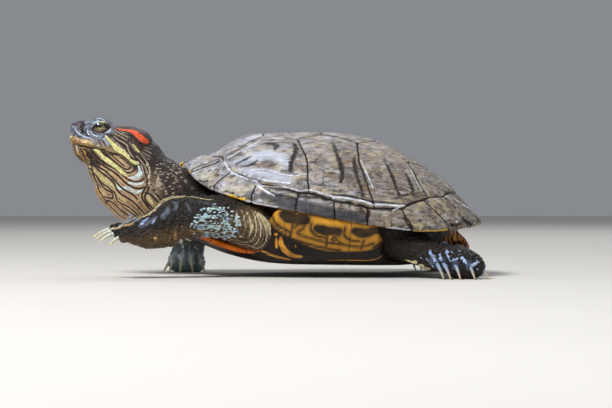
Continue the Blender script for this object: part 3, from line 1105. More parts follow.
def closed(rings):
    """Points and faces of a loft, with a fan at each end and its faces outward."""
    rows, count = rings.shape[:2]
    points = rings.reshape(-1, 3)
    total = len(points)
    faces = rings_to_faces(rows, count)
    faces += [(total, (s + 1) % count, s) for s in range(count)]
    faces += [(total + 1, total - count + s, total - count + (s + 1) % count) for s in range(count)]
    return np.concatenate([points, [points[:count].mean(0)], [points[-count:].mean(0)]]), faces


def ball(centre, radii, rounds=24, rows=14):
    polar = np.linspace(0, np.pi, rows + 1)[1:-1]
    turn = np.arange(rounds) / rounds * 2 * np.pi
    rings = np.stack([np.outer(np.sin(polar), np.cos(turn)), np.outer(np.sin(polar), np.sin(turn)),
                      np.outer(np.cos(polar), np.ones(rounds))], 2) * radii + centre
    points, faces = closed(rings)
    points[-2:] = np.array([[0, 0, 1], [0, 0, -1]]) * radii + centre
    return points, faces


def head_rings():
    at = np.concatenate([np.linspace(-159.2, -156, 8)[:-1], np.linspace(-156, -111.5, 40)])
    low, high, wide = (through([[r[0], r[k]] for r in HEAD], at) for k in (1, 2, 3))
    side, rise = rounded(np.arange(48) / 48 * 2 * np.pi, HEAD_SQUARENESS)
    return np.stack([np.repeat(at[:, None], 48, 1), np.outer(wide, side),
                     (low + high)[:, None] / 2 + np.outer((high - low) / 2, rise)], 2)


def trunk_rings():
    turn = np.arange(0, RAYS, 10) * 2 * np.pi / RAYS
    reach = per_ray(ray_reach, turn)
    rings = []
    for share, side_share, drop in [(0.04, 0.04, 0), (0.4, 0.4, 0), (0.7, 0.7, 0), (0.85, 0.85, 0)] + [
            (MARGIN_SHARE, share, drop) for share, drop in TRUNK_SIDES]:
        x, y = SHELL_HUB + side_share * reach * np.cos(turn), side_share * reach * np.sin(turn)
        roof = dome_height(SHELL_HUB + share * reach * np.cos(turn) * 0.99, share * reach * np.sin(turn))
        roof = (roof if drop else dome_height(x, y)) - SHELL_THICKNESS - 1.2
        base = through(BELLY, x) + PLATE_THICKNESS + 0.6
        rings.append(np.stack([x, y, roof + (base - roof) * drop], 1))
    return np.array(rings)


def toe_sections(pair):
    start, tip = np.array(pair, float)
    end = start + (tip - start) * (1 - CLAW_SHARE) + [0, 0, CLAW_ARCH]
    knuckle = start + (end - start) * 0.55 + [0, 0, CLAW_ARCH / 2]
    return [[*p, TOE_RADIUS - i * 0.35, TOE_RADIUS - i * 0.3] for i, p in enumerate((start, knuckle, end))]


bodies = [closed(loft(NECK, 40)), closed(head_rings()), closed(trunk_rings()), closed(loft(TAIL, 24))]
for sign in (-1, 1):
    bodies.append(ball(EYE_AT * [1, sign, 1] + [0, -0.6 * sign, 0], [6.9, 5.9, 6.5]))
for name, sections in LIMBS.items():
    bodies.append(closed(loft(sections)))
    bodies += [closed(loft(toe_sections(pair), 14, 4)) for pair in TOES[name]]
points, faces = [], []
for body_points, body_faces in bodies:
    start = sum(len(p) for p in points)
    points.append(body_points)
    faces += [tuple(start + v for v in face) for face in body_faces]
melt = put_in_scene("melted_flesh", mesh_from("melted_flesh", np.concatenate(points), faces))
edit = bmesh.new()
edit.from_mesh(melt.data)
bmesh.ops.recalc_face_normals(edit, faces=edit.faces)
edit.to_mesh(melt.data)
edit.free()
remesh = melt.modifiers.new("melt", "REMESH")
remesh.mode, remesh.voxel_size = "VOXEL", SKIN_VOXEL * MM
melted = bpy.data.meshes.new_from_object(melt.evaluated_get(bpy.context.evaluated_depsgraph_get()))
bpy.data.objects.remove(melt)
skin = put_in_scene("skin", melted)

# the flesh under the shell is thinned, the head and neck get a finer mesh
spots = places_of(melted)
away = np.hypot(spots[:, 0] - SHELL_HUB, spots[:, 1])
reach = per_ray(ray_reach, np.arctan2(spots[:, 1], spots[:, 0] - SHELL_HUB))
hidden = (away < reach * HIDDEN_SHARE) & (spots[:, 2] > 12)
hidden |= ((away < reach * 0.9) & (spots[:, 2] > through(RIM, spots[:, 0]) + 3)
           & ((spots[:, 0] > -62) | (np.abs(spots[:, 1]) > 34)))
group = skin.vertex_groups.new(name="hidden")
group.add(np.flatnonzero(hidden).tolist(), 1.0, "REPLACE")
thin = skin.modifiers.new("thin", "DECIMATE")
thin.ratio = 1 - hidden.mean() * HIDDEN_THINNING
thin.vertex_group, thin.vertex_group_factor = "hidden", 1000
thinned = bpy.data.meshes.new_from_object(skin.evaluated_get(bpy.context.evaluated_depsgraph_get()))
skin.modifiers.clear()
skin.vertex_groups.clear()
skin.data = thinned
bpy.data.meshes.remove(melted)

ALL_AXES = {"use_axis_x": True, "use_axis_y": True, "use_axis_z": True}
edit = bmesh.new()
edit.from_mesh(skin.data)
for _ in range(2):
    bmesh.ops.smooth_vert(edit, verts=edit.verts, factor=0.5, **ALL_AXES)


def is_fine(v):
    """True on the head and neck, which carry the thinnest markings."""
    x, y, z = v.co.x / MM - SHELL_SHIFT, abs(v.co.y) / MM, v.co.z / MM
    return x < -93 and y < 30 and (z > 46 or y < 27)


fine = [e for e in edit.edges if all(is_fine(v) for v in e.verts)]
bmesh.ops.subdivide_edges(edit, edges=fine, cuts=1, use_grid_fill=True, smooth=0.0)
bmesh.ops.triangulate(edit, faces=[f for f in edit.faces if len(f.verts) > 4])
head_verts = [v for v in edit.verts if is_fine(v)]
bmesh.ops.smooth_vert(edit, verts=head_verts, factor=0.5, **ALL_AXES)
edit.to_mesh(skin.data)
edit.free()
skin.data.polygons.foreach_set("use_smooth", [True] * len(skin.data.polygons))

# Lids, nostrils, mouth and cheeks are pressed into the melted form.
OPENING = {"x": -139.4, "z": 89.2, "long": 5.5, "high": 3.15, "droop": 0.5}
LID_RADII = np.array([6.9, 6.3, 5.75])
NOSTRIL = {"at": (-157.6, 2.5, 91.6), "radius": 0.75, "depth": 1.5}
MOUTH = [[-160, 80], [-153.9, 79.5], [-146.5, 77.8], [-141.2, 76.7], [-132.2, 74.2], [-127, 71.5]]
BEAK_TOP = [
    [-160, 85.6], [-157.3, 84.8], [-153.5, 83.7], [-151.7, 82.6], [-146.5, 82], [-144, 80.6],
    [-137.8, 78.4],
]
SOCKET = 4.2  # inside the opening the skin sinks to this distance from the middle of the eyeball
# [how far out, place [x, y, z], reach [x, y, z]] of each swelling or hollow of the head and throat
SWELLINGS = [
    (-0.7, (-152.5, 9, 90), (3.2, 3, 3.2)), (0.8, (-127, 14, 72), (9, 8, 7)),
    (-0.7, (-125, 14.5, 81), (6, 6, 4.5)), (0.5, (-133, 10, 93.2), (5, 4, 2.2)),
    (3.2, (-113.5, 3, 85), (7.5, 12, 6)), (1.9, (-107, 3, 80.5), (6, 12, 6)),
    (-2.6, (-140, 0, 56), (8, 16, 9)), (-1.4, (-144.3, 0, 54), (5, 8, 3)),
    (-0.7, (-141.5, 0, 47), (4, 7, 4.5)), (-0.9, (-143, 0, 60), (4, 9, 7)),
    (-1.4, (-137, 0, 40), (5, 8, 3)),
]
points, out = places_of(skin.data), outward_of(skin.data)
mirror = np.ones((len(points), 3))
mirror[points[:, 1] < 0, 1] = -1.0
twin = points * mirror  # every point brought to the right-hand side


def near(centre, radius, power=2.0):
    return np.exp(-(np.linalg.norm((twin - centre) / radius, axis=1)) ** power)


is_head = (twin[:, 0] < -112) & (twin[:, 1] < 24)
# the lids: skin on an oval round the eyeball, with a rolled edge at the opening
span = (twin[:, 0] - OPENING["x"]) / OPENING["long"]
tall = (twin[:, 2] - OPENING["z"] + OPENING["droop"] * span ** 2) / OPENING["high"]
gape = np.sqrt(span ** 2 + tall ** 2 / np.maximum(1 - 0.35 * span ** 2, 0.3))
from_eye = twin - EYE_AT
reach_now = np.linalg.norm(from_eye, axis=1)
toward = from_eye / np.maximum(reach_now, 1e-6)[:, None]
lid_reach = 1 / np.linalg.norm(toward / LID_RADII, axis=1)
rolled = 0.35 * np.exp(-((gape - 1.16) / 0.13) ** 2) - 0.25 * np.exp(-((gape - 1.5) / 0.12) ** 2)
target = np.where(gape < 1, SOCKET, lid_reach + rolled)
around = np.hypot(from_eye[:, 0] / 1.08, from_eye[:, 2])
share = smoothstep(9.2, 6.6, around) * smoothstep(-1.0, 1.5, from_eye[:, 1]) * is_head
moved = EYE_AT + toward * (reach_now + (target - reach_now) * share)[:, None]
# nostrils, snout pits, cheeks, jaw corner and the dip of the temple
push = np.zeros(len(points))
push -= NOSTRIL["depth"] * near(NOSTRIL["at"], NOSTRIL["radius"], 3)
push += 0.4 * near(NOSTRIL["at"], NOSTRIL["radius"] * 2.1, 4)
for how_far, place, reach in SWELLINGS:
    push += how_far * near(place, reach)
from_mouth = twin[:, 2] - through(MOUTH, twin[:, 0])
ahead_of_corner = smoothstep(-127.5, -130, twin[:, 0]) * is_head
push -= 0.75 * np.exp(-(from_mouth / 0.42) ** 2) * ahead_of_corner
sheath = smoothstep(0.1, 0.7, from_mouth) * smoothstep(0.5, -0.2, twin[:, 2] - through(BEAK_TOP, twin[:, 0]))
sheath *= is_head * smoothstep(-137.5, -141, twin[:, 0])
push += 0.4 * sheath
push -= 0.35 * smoothstep(0.2, -0.4, from_mouth) * smoothstep(-9, -3, from_mouth) * ahead_of_corner
# loose skin: folds where the neck leaves the shell and pleats behind the arm
fold = np.sin((twin[:, 0] * 0.8 + twin[:, 2] * 0.55 + 1.5 * np.sin(twin[:, 2] * 0.21)) * 0.95)
push += (0.45 * fold * smoothstep(-108, -94, twin[:, 0]) * smoothstep(-72, -84, twin[:, 0])
         * (twin[:, 1] < 26))
points = moved * mirror + out * push[:, None]


def from_line(places, a, b):
    """Distance from the straight line between two points."""
    along = b - a
    t = np.clip(((places - a) @ along) / (along @ along), 0, 1)
    return np.linalg.norm(places - a - t[:, None] * along, axis=1)


# each toe runs up over the foot as a ridge, with the web sunk between
out = outward_of(skin.data)
knuckles = np.full(len(points), -3.0)
webs = np.full(len(points), -3.0)
for name, pairs in TOES.items():
    back = 0.55 if name.startswith("front_left") else 0.8
    lines = []
    for start, tip in np.array(pairs, float):
        lines.append((start - (tip - start) * back + [0, 0, 1.5],
                      start + (tip - start) * (1 - CLAW_SHARE) + [0, 0, CLAW_ARCH]))
        knuckles = np.maximum(knuckles, TOE_RADIUS * 1.25 - from_line(points, *lines[-1]))
    for (a, b), (c, d) in zip(lines[:-1], lines[1:]):
        webs = np.maximum(webs, TOE_RADIUS * 1.1 - from_line(points, (a + c) / 2, (b + d) / 2))
push = 0.75 * smoothstep(-0.6, 1.6, knuckles) - 1.15 * smoothstep(-0.5, 1.8, webs)
arm = (points[:, 1] < -30) & (points[:, 0] < -44)
crease = np.sin(points[:, 0] * 1.25 + 1.2 * np.sin(points[:, 2] * 0.33) - points[:, 2] * 0.35)
push += 0.3 * crease * arm * smoothstep(-104, -92, points[:, 0])
points = points + out * push[:, None]
points[:, 2] = np.maximum(points[:, 2], 0)
settle(skin.data, points)


def evenly(width, *places):
    """A stroke of one width that thins to 0.7 of it at both ends."""
    ends = (0, len(places) - 1)
    return [(a, d, width * (0.7 if i in ends else 1)) for i, (a, d) in enumerate(places)]


# Markings, drawn as strokes of [across, down, width] in view pixels and laid on the skin.
LIME = [
    [(99.9, 121.2, 1), (102.7, 122.3, 1.6), (105.9, 123.9, 1)],
    [(105.5, 135.8, 1.3), (108.7, 139.4, 2.7), (112.2, 143.4, 3.6), (115.8, 147.4, 5.1),
     (119.8, 150.5, 5.4), (124.3, 153.2, 4), (128.3, 155.9, 2.7)],
    [(124.7, 154.1, 3.5), (127.2, 156.6, 2.9), (129.8, 159.2, 2.6), (132.3, 161.4, 2.9), (135.5, 163, 3.8),
     (137.4, 163, 3.8)],
    [(132.6, 144.2, 0.9), (134.9, 147.1, 2.4), (137.4, 150.3, 2.3), (139.7, 152.5, 0.9)],
    [(94.1, 149.6, 1.9), (97.9, 150.9, 3.8), (100.4, 154.1, 2.9), (103.3, 157.3, 3.8), (106.8, 159.8, 4.5),
     (111.9, 163.7, 4), (117, 167.5, 4), (121.5, 171.9, 3.7), (125.3, 174.8, 3.2)],
]
CREAM = [
    [(83.4, 163.4, 1.7), (86.9, 166.3, 2.5), (91.5, 167.5, 2)],
    [(91.5, 167.5, 1.5), (96.1, 172.1, 3.2), (100.1, 176.1, 3.8), (104.7, 179.5, 4.6), (109.3, 183, 3.8),
     (112.7, 185.8, 2.3), (114.4, 188.7, 1.1)],
    [(116.7, 192.1, 1.1), (119.6, 195.6, 2.9), (122.5, 199, 3.4), (125.9, 201.3, 2.3)],
    [(147.7, 196.7, 2.9), (149.7, 200.2, 3.8), (152.3, 203.1, 2.9)],
    [(83.2, 160.9, 2.3), (85.5, 164.4, 2.9), (88.4, 166.7, 2.3)],
]
WHITE = [
    [(138.6, 166.3, 1.7), (140.3, 170.9, 3.8), (139.7, 174.9, 5.2), (136.3, 177.2, 4.6),
     (131.7, 177.9, 2.5), (128.8, 177.5, 1.1)],
    [(116.2, 185.3, 1.4), (119.6, 188.7, 2.5), (124.8, 188, 3.2), (129.4, 188.7, 3.2), (132.8, 191, 2.5),
     (137.4, 192.4, 2.9), (142.6, 190.1, 1.4)],
    [(128.8, 182.7, 1.7), (134, 183.8, 2.8), (139.7, 184.1, 2.5), (143.7, 182.7, 1.1)],
    [(76.3, 146, 1.5), (77.2, 149.4, 2), (78, 151.7, 1.5)],
]
OCHRE = [
    [(85.4, 121.9, 1.1), (87.5, 122.2, 1.1)],
    [(77.2, 151.4, 2.2), (78.8, 154.6, 2.8), (80.5, 157.2, 2.8), (83.2, 159.9, 2.2)],
    [(72.1, 147.9, 1.3), (73.8, 153.7, 1.8), (76.5, 159.5, 2.2), (79.6, 163.9, 2.7)],
]
RED = [
    [(117, 128.3, 1.5), (120.8, 129.5, 2.6), (125.9, 130.2, 2.6), (129.8, 130.5, 3.8), (133.6, 131.8, 5.7),
     (136.8, 134, 7), (140, 136.6, 7), (143.2, 139.4, 7), (146.4, 141, 5.7), (148.3, 141.7, 3.2)],
]
DARK = [
    evenly(1.5, (88.6, 164.3), (92.1, 164.6), (95.5, 166.9), (98.9, 170.3), (103, 173.8), (107, 176.6),
           (111, 180.1), (114.4, 184.1), (116.2, 188.1), (117.9, 191), (121.3, 194.4), (125.4, 196.7),
           (129.9, 199.6), (134.5, 203.1), (138, 206.5), (141.4, 210.5), (144.9, 214)),
    evenly(1.4, (90.9, 160), (93.2, 163.4), (97.2, 166.3), (101.2, 168.6), (105.3, 170.9), (108.7, 174.4),
           (112.1, 177.2), (114.4, 180.1), (117.3, 183), (120.2, 186.4), (123.6, 189.3), (127.6, 191.9),
           (131.7, 193.9), (135.1, 196.7), (137.4, 199.6)),
    evenly(1.5, (94.4, 160), (98.4, 162.3), (103, 165.2), (107, 168), (111, 170.3), (114.4, 172.6),
           (117.9, 175.5), (120.8, 178.4), (123.6, 181.2), (127.1, 184.1), (131.1, 186.4), (135.1, 188.1),
           (140.3, 188.4), (143.7, 187)),
    evenly(1.4, (102.4, 160), (104.7, 162.9), (108.7, 165.7), (112.7, 167.5), (116.7, 170.3),
           (120.2, 173.2), (123.6, 176.1), (127.6, 179.2), (131.7, 181), (136.3, 181.7), (140.8, 180.7),
           (143.7, 178.4), (144.9, 175.5), (143.1, 171.5), (141.4, 168), (140.3, 164.6), (139.1, 161.1)),
    evenly(1.5, (143.7, 163.4), (146, 167.5), (147.7, 171.5), (148.3, 176.1), (147.7, 180.1),
           (147.2, 184.1), (145.4, 187.6), (143.7, 191), (142, 194.4), (142, 197.9), (143.7, 201.3),
           (146.6, 205.4), (149.5, 208.8), (150.6, 211.1)),
    evenly(1.4, (151.2, 184.1), (148.9, 187.6), (147.7, 191), (145.4, 194.4), (144.9, 197.9),
           (146.6, 201.9), (149.5, 205.4), (152.3, 208.2)),
    evenly(1.5, (146.6, 193.3), (150, 193.9), (152.9, 196.7), (155.8, 200.2), (158.1, 202.5)),
    evenly(1.1, (153.5, 189.9), (155.8, 193.9), (158.6, 196.7), (160.9, 199.6)),
    evenly(1.3, (86.9, 168.3), (90.3, 168.9), (93.2, 172.6), (96.1, 175.5), (98.4, 178.4), (100.7, 181.8),
           (104.1, 184.7), (107.6, 187), (111, 189.9), (113.9, 192.1), (115.6, 195), (116.7, 199),
           (117.9, 201.3)),
    evenly(1.4, (96.6, 177.2), (98.9, 180.7), (101.8, 185.3), (104.7, 188.7), (108.7, 191), (111.6, 192.7),
           (113, 195.6), (112.4, 198.5), (108.7, 197.9), (104.1, 196.7)),
    evenly(1.3, (105.8, 204.2), (105.8, 201.3), (108.7, 200.8), (112.1, 202.5), (115.6, 205.4),
           (119, 208.2), (122.5, 211.7), (125.9, 214), (129.9, 216.3)),
    evenly(1.3, (117.9, 201.3), (120.8, 203.6), (123.6, 204.5), (127.6, 206.5), (131.7, 209.4),
           (135.1, 212.2), (138, 215.7)),
    evenly(1, (121.3, 205.4), (125.9, 208.8), (129.9, 211.7), (133.4, 214.5), (136.3, 216.5)),
    [(119.6, 208.8, 0.6), (123.6, 211.7, 0.9), (127.1, 214, 0.6)],
    evenly(0.9, (89.8, 171.5), (93.2, 177.2), (96.6, 183), (98.9, 188.7), (99.5, 192.7)),
    evenly(0.8, (92.1, 173.8), (95.5, 178.9), (98.9, 184.7), (101.2, 187.6)),
    evenly(1.1, (80.3, 148.9), (82.6, 152.3), (84.4, 156.3), (86.6, 160.4)),
    evenly(1.3, (83.2, 148.9), (86.6, 151.7), (88.9, 156.3), (91.2, 159.2), (95.3, 162.6), (99.9, 165.5)),
    evenly(1.3, (86.6, 150), (89.5, 153.5), (93, 157.5), (97, 160.9), (102.1, 164.4)),
    evenly(1.3, (89.5, 149.4), (93, 154), (96.4, 157.5), (101, 160.9), (105.6, 164.4)),
    evenly(1, (92.4, 150.6), (94.7, 154), (97.6, 156.9), (99.9, 159.2)),
    evenly(1.5, (98.7, 149.4), (102.1, 152.3), (106.7, 156.3), (110.2, 160.4), (114.2, 163.8),
           (118.2, 167.2), (122.2, 170.7), (126.8, 172.7), (131.4, 172.4), (134.9, 169.5), (135.7, 166.7),
           (133.1, 163.2), (129.7, 160.9)),
    evenly(1.1, (102.1, 149.4), (106.7, 153.5), (110.2, 157.5), (114.8, 161.5), (118.8, 164.9),
           (122.8, 167.8), (126.3, 169.5), (129.7, 168.4), (130.6, 166.1)),
    evenly(0.9, (105.6, 150), (110.2, 153.5), (113.6, 156.9), (117.6, 160.4), (121.7, 163.8),
           (124.5, 166.4)), evenly(0.9, (119.4, 156.9), (123.4, 159.2), (126.8, 162.1), (129.7, 164.9)),
    [(78, 144.9, 0.9), (81.5, 146, 1.6), (85.5, 146.3, 1.5), (90.1, 147.7, 1.4), (94.7, 148.9, 1.3),
     (98.7, 149.3, 0.9), (104.4, 149.7, 0.7)],
    [(109.6, 152.3, 0.9), (114.2, 153.9, 2), (119.4, 155.2, 1.3)], [(72.9, 140.8, 1.3), (73.4, 143.7, 1)],
    [(81.8, 121.3, 2.9), (82.9, 124.8, 3.8), (81.8, 128.2, 3.4), (82.3, 131.6, 2.3)],
    [(84.4, 131.6, 0.9), (87.8, 134.5, 1.3), (89.5, 136.8, 0.8)], [(72.6, 124.2, 0.9), (74.6, 124.5, 0.7)],
    evenly(1, (106.7, 133.9), (111.3, 137.4), (115.9, 142), (119.9, 146), (124.5, 149.4), (128.6, 153.5),
           (132, 157.5)),
    evenly(0.9, (109.6, 133.4), (114.8, 138), (118.8, 141.4), (123.4, 144.9), (126.8, 148.9)),
    evenly(1, (128, 143.7), (130.8, 147.1), (133.1, 151.7), (136, 154.6)),
    evenly(1.3, (120.5, 132.2), (125.7, 133.4), (130.8, 135.7), (134.9, 139.1), (137.7, 142.6),
           (141.8, 144.3)),
]
TAN = [
    evenly(0.9, (113.6, 128.8), (117.1, 131.6), (120.5, 133.4), (125.1, 135.7), (129.1, 138)),
    evenly(0.8, (112.5, 131.4), (115.9, 133.9), (119.9, 136.2), (124, 138.5), (127.4, 140.3)),
    [(118.8, 130.8, 0.5), (123.4, 132.5, 0.7), (128, 133.7, 0.5)],
    evenly(1, (113.6, 136.2), (117.1, 139.1), (120.5, 140.8), (124, 143.1), (126.8, 144.9), (128, 148.3),
           (129.1, 151.7), (131.4, 155.2), (133.7, 157.5)),
    evenly(0.9, (111.3, 138), (114.8, 141.4), (118.8, 144.9), (122.8, 148.3), (126.3, 152.3), (129.7, 156)),
    evenly(0.8, (129.7, 142), (130.8, 144.9), (133.7, 148.9), (136.6, 152.3)),
    [(144.1, 147.1, 0.5), (148.1, 148.3, 0.7), (151.5, 149.4, 0.5)],
    [(143.5, 149.4, 0.5), (147.5, 151.2, 0.7), (151.5, 153.5, 0.5)],
    [(141.8, 151.7, 0.5), (146.3, 154.6, 0.7), (150.4, 156.9, 0.5)],
    [(140.6, 153.5, 0.5), (145.2, 156.9, 0.7), (150.4, 160.4, 0.5)],
    evenly(1.1, (136.6, 156.3), (140.6, 160.4), (144.1, 164.9), (146.3, 170.1), (148.1, 175.3),
           (148.4, 178)),
    evenly(0.9, (141.2, 155.2), (145.2, 159.8), (148.6, 164.9), (150.4, 170.1), (150.9, 175.8)),
    evenly(0.9, (138.9, 162.6), (141.8, 166.7), (143.5, 172.4), (144.1, 178)),
    evenly(1.1, (146, 163.4), (148.9, 168.6), (149.7, 174.4), (148.9, 179.5), (149.5, 184.7),
           (152.3, 188.7)),
    [(158.4, 173.8, 1.5), (158.6, 178.4, 2), (158.1, 183, 3.4), (158.6, 185.3, 4.6)],
    evenly(0.8, (161.5, 183), (163.8, 187), (166.1, 191), (167.8, 194.4)),
    evenly(0.7, (151.8, 192.1), (154.6, 195), (157.5, 197.9), (159.8, 201.3)),
    [(165, 170.3, 0.6), (167.8, 173.8, 0.8), (170, 176.1, 0.6)],
    [(98.7, 154.6, 0.7), (104.4, 158.6, 0.8), (110.2, 163.8, 0.9), (115.9, 168.4, 0.7)],
]
LID_RIM = [
    [(90.6, 131.4, 0.9), (92.4, 133.9, 1.3), (95.8, 135.6, 1.6), (99.9, 135.6, 1.7), (104.4, 133.9, 1.6),
     (109, 130.8, 1.5), (111.4, 127.9, 1.4), (111, 125.1, 1)],
    [(90.2, 124.6, 0.8), (92.4, 120.8, 1.3), (96.4, 118.4, 1.6), (101, 118.6, 1.3), (105, 120.8, 0.8)],
    [(71.8, 121.6, 0.8), (74.6, 119.8, 1.4), (78, 119.8, 1)],
    [(86, 122.6, 0.8), (88.2, 121.8, 1.2), (90.4, 122, 0.7)],
    [(87.8, 128.8, 0.7), (87.4, 132.2, 1.4), (89.8, 135.4, 0.9)],
]
PALE = [
    [(92.7, 123.9, 1.1), (95.5, 121.9, 2.5), (98.7, 120.3, 1.7)],
    evenly(1.5, (74.3, 127.3), (76.9, 131.6), (80.3, 134.5), (84.9, 136.8), (89.5, 138), (93, 140.3),
           (95.3, 143.1)), evenly(0.9, (98.7, 137.4), (101, 140.8), (103.3, 144.9), (104.4, 147.7)),
    evenly(1, (101, 136.5), (104.4, 140.3), (106.7, 143.7), (109, 147.1)),
    [(103.9, 137.1, 0.7), (107.3, 141.4, 1), (110.2, 145.4, 0.7)],
    [(95.8, 139.1, 0.5), (97.6, 143.1, 0.7), (99.9, 146, 0.5)], [(72.3, 126.8, 0.6), (75.2, 126.5, 0.6)],
    [(72.3, 123.6, 0.5), (74.6, 123, 0.5)],
]
CREAM_A = [
    [(110, 228.9, 2.4), (117.3, 227.7, 2.9), (124.5, 225.3, 4.8), (131.8, 222.9, 3.2), (140.3, 218, 3.4),
     (150, 213.2, 3.1), (158.5, 205.9, 3.1), (164.5, 200.5, 2.8), (173, 197.4, 2.4), (182.7, 196.8, 1.9),
     (194.8, 197.4, 1.5), (204.5, 199.2, 1.5), (213, 199.8, 1.2)],
    [(236.1, 211.7, 1.4), (237.7, 219.9, 1.8), (237.3, 227, 1.4)],
    [(241.2, 209.7, 1.2), (243.8, 216.8, 1.6), (245.3, 225, 1.6), (244.9, 232.1, 1.2), (241.7, 235.7, 1)],
    [(246.3, 210.7, 1.2), (249.4, 216.8, 2), (250.8, 223, 3.1), (251.6, 228.1, 3.1), (250.4, 233.2, 2),
     (247.9, 238.3, 1.2)],
    [(251.4, 210.7, 1), (254.5, 216.8, 1.6), (256, 223, 1.8), (256.3, 229.1, 1.8), (255.3, 235.2, 1.6),
     (251.4, 241.3, 1.4)],
    [(255, 211.7, 1), (258.6, 218.9, 1.6), (260.6, 225, 2), (261.2, 231.1, 2), (259.8, 237.2, 1.8),
     (256.5, 243.4, 1.6), (250.4, 246.9, 1.2)],
    [(257.6, 213.3, 1), (262.7, 220.9, 1.8), (265.3, 227, 2), (266.7, 233.2, 2), (266.5, 239.3, 1.8),
     (262.7, 245.4, 1.8), (255.5, 249, 1.4)],
    [(260.6, 215.8, 1), (266.2, 223, 1.8), (269.2, 229.1, 1.8), (270.8, 235.2, 1.8), (271, 241.3, 1.6),
     (268, 247.4, 1.6), (261.6, 250.7, 1.2)],
    [(257.6, 211.7, 1), (264.7, 218.4, 2.2), (270.3, 226, 1.8), (272.7, 233.2, 1.6), (274.4, 239.3, 1.4),
     (275.1, 245.4, 1.4), (276.9, 250.5, 1.2)],
    [(233.1, 242.3, 1), (239.2, 243.9, 1.4), (245.3, 244.6, 1.4), (251.4, 246.4, 1.4), (257.6, 248.7, 1.2)],
    [(235.1, 239.3, 0.8), (241.2, 241.8, 1.2), (247.3, 242.1, 1.2), (251.4, 240.3, 0.8)],
    [(228, 237.2, 0.8), (232, 239.3, 1.2), (237.1, 240.3, 0.8)],
]
shoulder = [smooth_path(stroke, 8)[0][np.linspace(0, (len(stroke) - 1) * 8, 17).astype(int)]
            for stroke in CREAM_A[2:8]]
FOLD_LINES = [(upper + lower) / 2 * [1, 1, 0.75] for upper, lower in zip(shoulder[:-1], shoulder[1:])]
FOLD_LINES += [stroke - [dx, 0, 0.4] for stroke, dx in ((shoulder[0], 5), (shoulder[0], 9.5))]
TAN_A = [
    [(125.6, 225.6, 2), (128.7, 224.8, 4), (132, 223.4, 2.6)], [(155.5, 238, 2.4), (155.5, 241.7, 2.7)],
    [(175.5, 231.4, 1.9), (176.1, 239.2, 2.7)], [(166, 235, 1), (165.8, 242.3, 1.2)],
    [(169.6, 231.4, 1), (169.4, 241.1, 1)], [(182.7, 225.9, 1.2), (182.7, 231.4, 1.5)],
    [(187.6, 230.2, 1), (194.8, 231.4, 1.2), (202.1, 231.4, 1.2), (211.8, 232.6, 1.5), (219.1, 234.4, 1.2)],
]
FAR_FOOT = [
    [(181, 240, 2.2), (182.5, 246, 2.2), (184, 252, 1.6)], [(186, 238.5, 1.6), (191, 241, 1.8)],
    [(194, 246.5, 1.6), (198, 249.5, 2)], [(189.5, 246, 1), (190.5, 250, 1)],
    [(163.6, 257, 1.4), (165, 264, 1.2)], [(169.8, 255, 2), (171.8, 264, 1.4)],
    [(178.2, 255, 2.2), (181.8, 264, 1.4)], [(190.4, 256, 2.2), (194.6, 264, 1.6)],
]
MINT = [
    [(202.1, 217.4, 3.3), (210, 215.8, 3.3)], [(207, 208.3, 1.4), (214.2, 208.6, 1.9), (219.7, 210.2, 1.9)],
    [(194.8, 224.1, 1), (204.5, 225.3, 1.5), (214.2, 226.3, 1.9)],
    [(209.4, 226.8, 1.8), (216.7, 228.9, 1.9)], [(222.7, 219.2, 2.2), (226.4, 223.1, 2.7)],
    [(228.2, 224.1, 2.3), (231.2, 231.4, 2.7)], [(236.1, 215.6, 1.9), (237.3, 225.3, 2.3)],
    [(216.7, 215, 1.2), (222.7, 216.8, 1.4)], [(193.6, 216.8, 0.8), (199.7, 218, 1)],
    [(193.6, 220.7, 0.6), (202.1, 221.4, 0.9)],
    [(187.6, 227.1, 0.6), (197.3, 228.3, 0.9), (204.5, 229.5, 0.9)],
    [(214.2, 221.1, 1), (219.1, 222.3, 1.2)], [(219.1, 226.5, 1.2), (225.2, 228.9, 1.4)],
    [(231.2, 219.8, 1), (232.4, 222.3, 1.4)], [(231.2, 235, 1.2), (236.1, 237.4, 1.5)],
    [(238.5, 236.2, 1.2), (243.3, 237.4, 1.4)], [(211.8, 205.9, 0.8), (216.7, 206.2, 1)],
    [(204.5, 211.4, 0.8), (210.6, 212, 1)], [(204.5, 221.1, 0.8), (210.6, 222.3, 1)],
    [(225.2, 232.6, 0.8), (229.4, 235, 1.2)], [(222.7, 213.2, 0.8), (226.4, 215, 1)],
]
SHEEN = [
    [(168, 208, 3), (166.5, 212, 5), (163, 217, 4)], [(175, 202, 2.5), (176.5, 206, 3.5), (174, 210, 2)],
    [(140, 227, 2), (146, 224, 3.4), (152, 219.5, 2.4), (157, 217, 1.6)],
    [(126, 224.5, 2), (132, 222.8, 2.4), (139, 219.5, 2)],
    [(186, 203, 1.4), (189, 207.5, 1.8), (190, 212, 1.2)],
    [(197.5, 202, 1), (206, 203, 1.4), (214, 204.6, 1)],
]
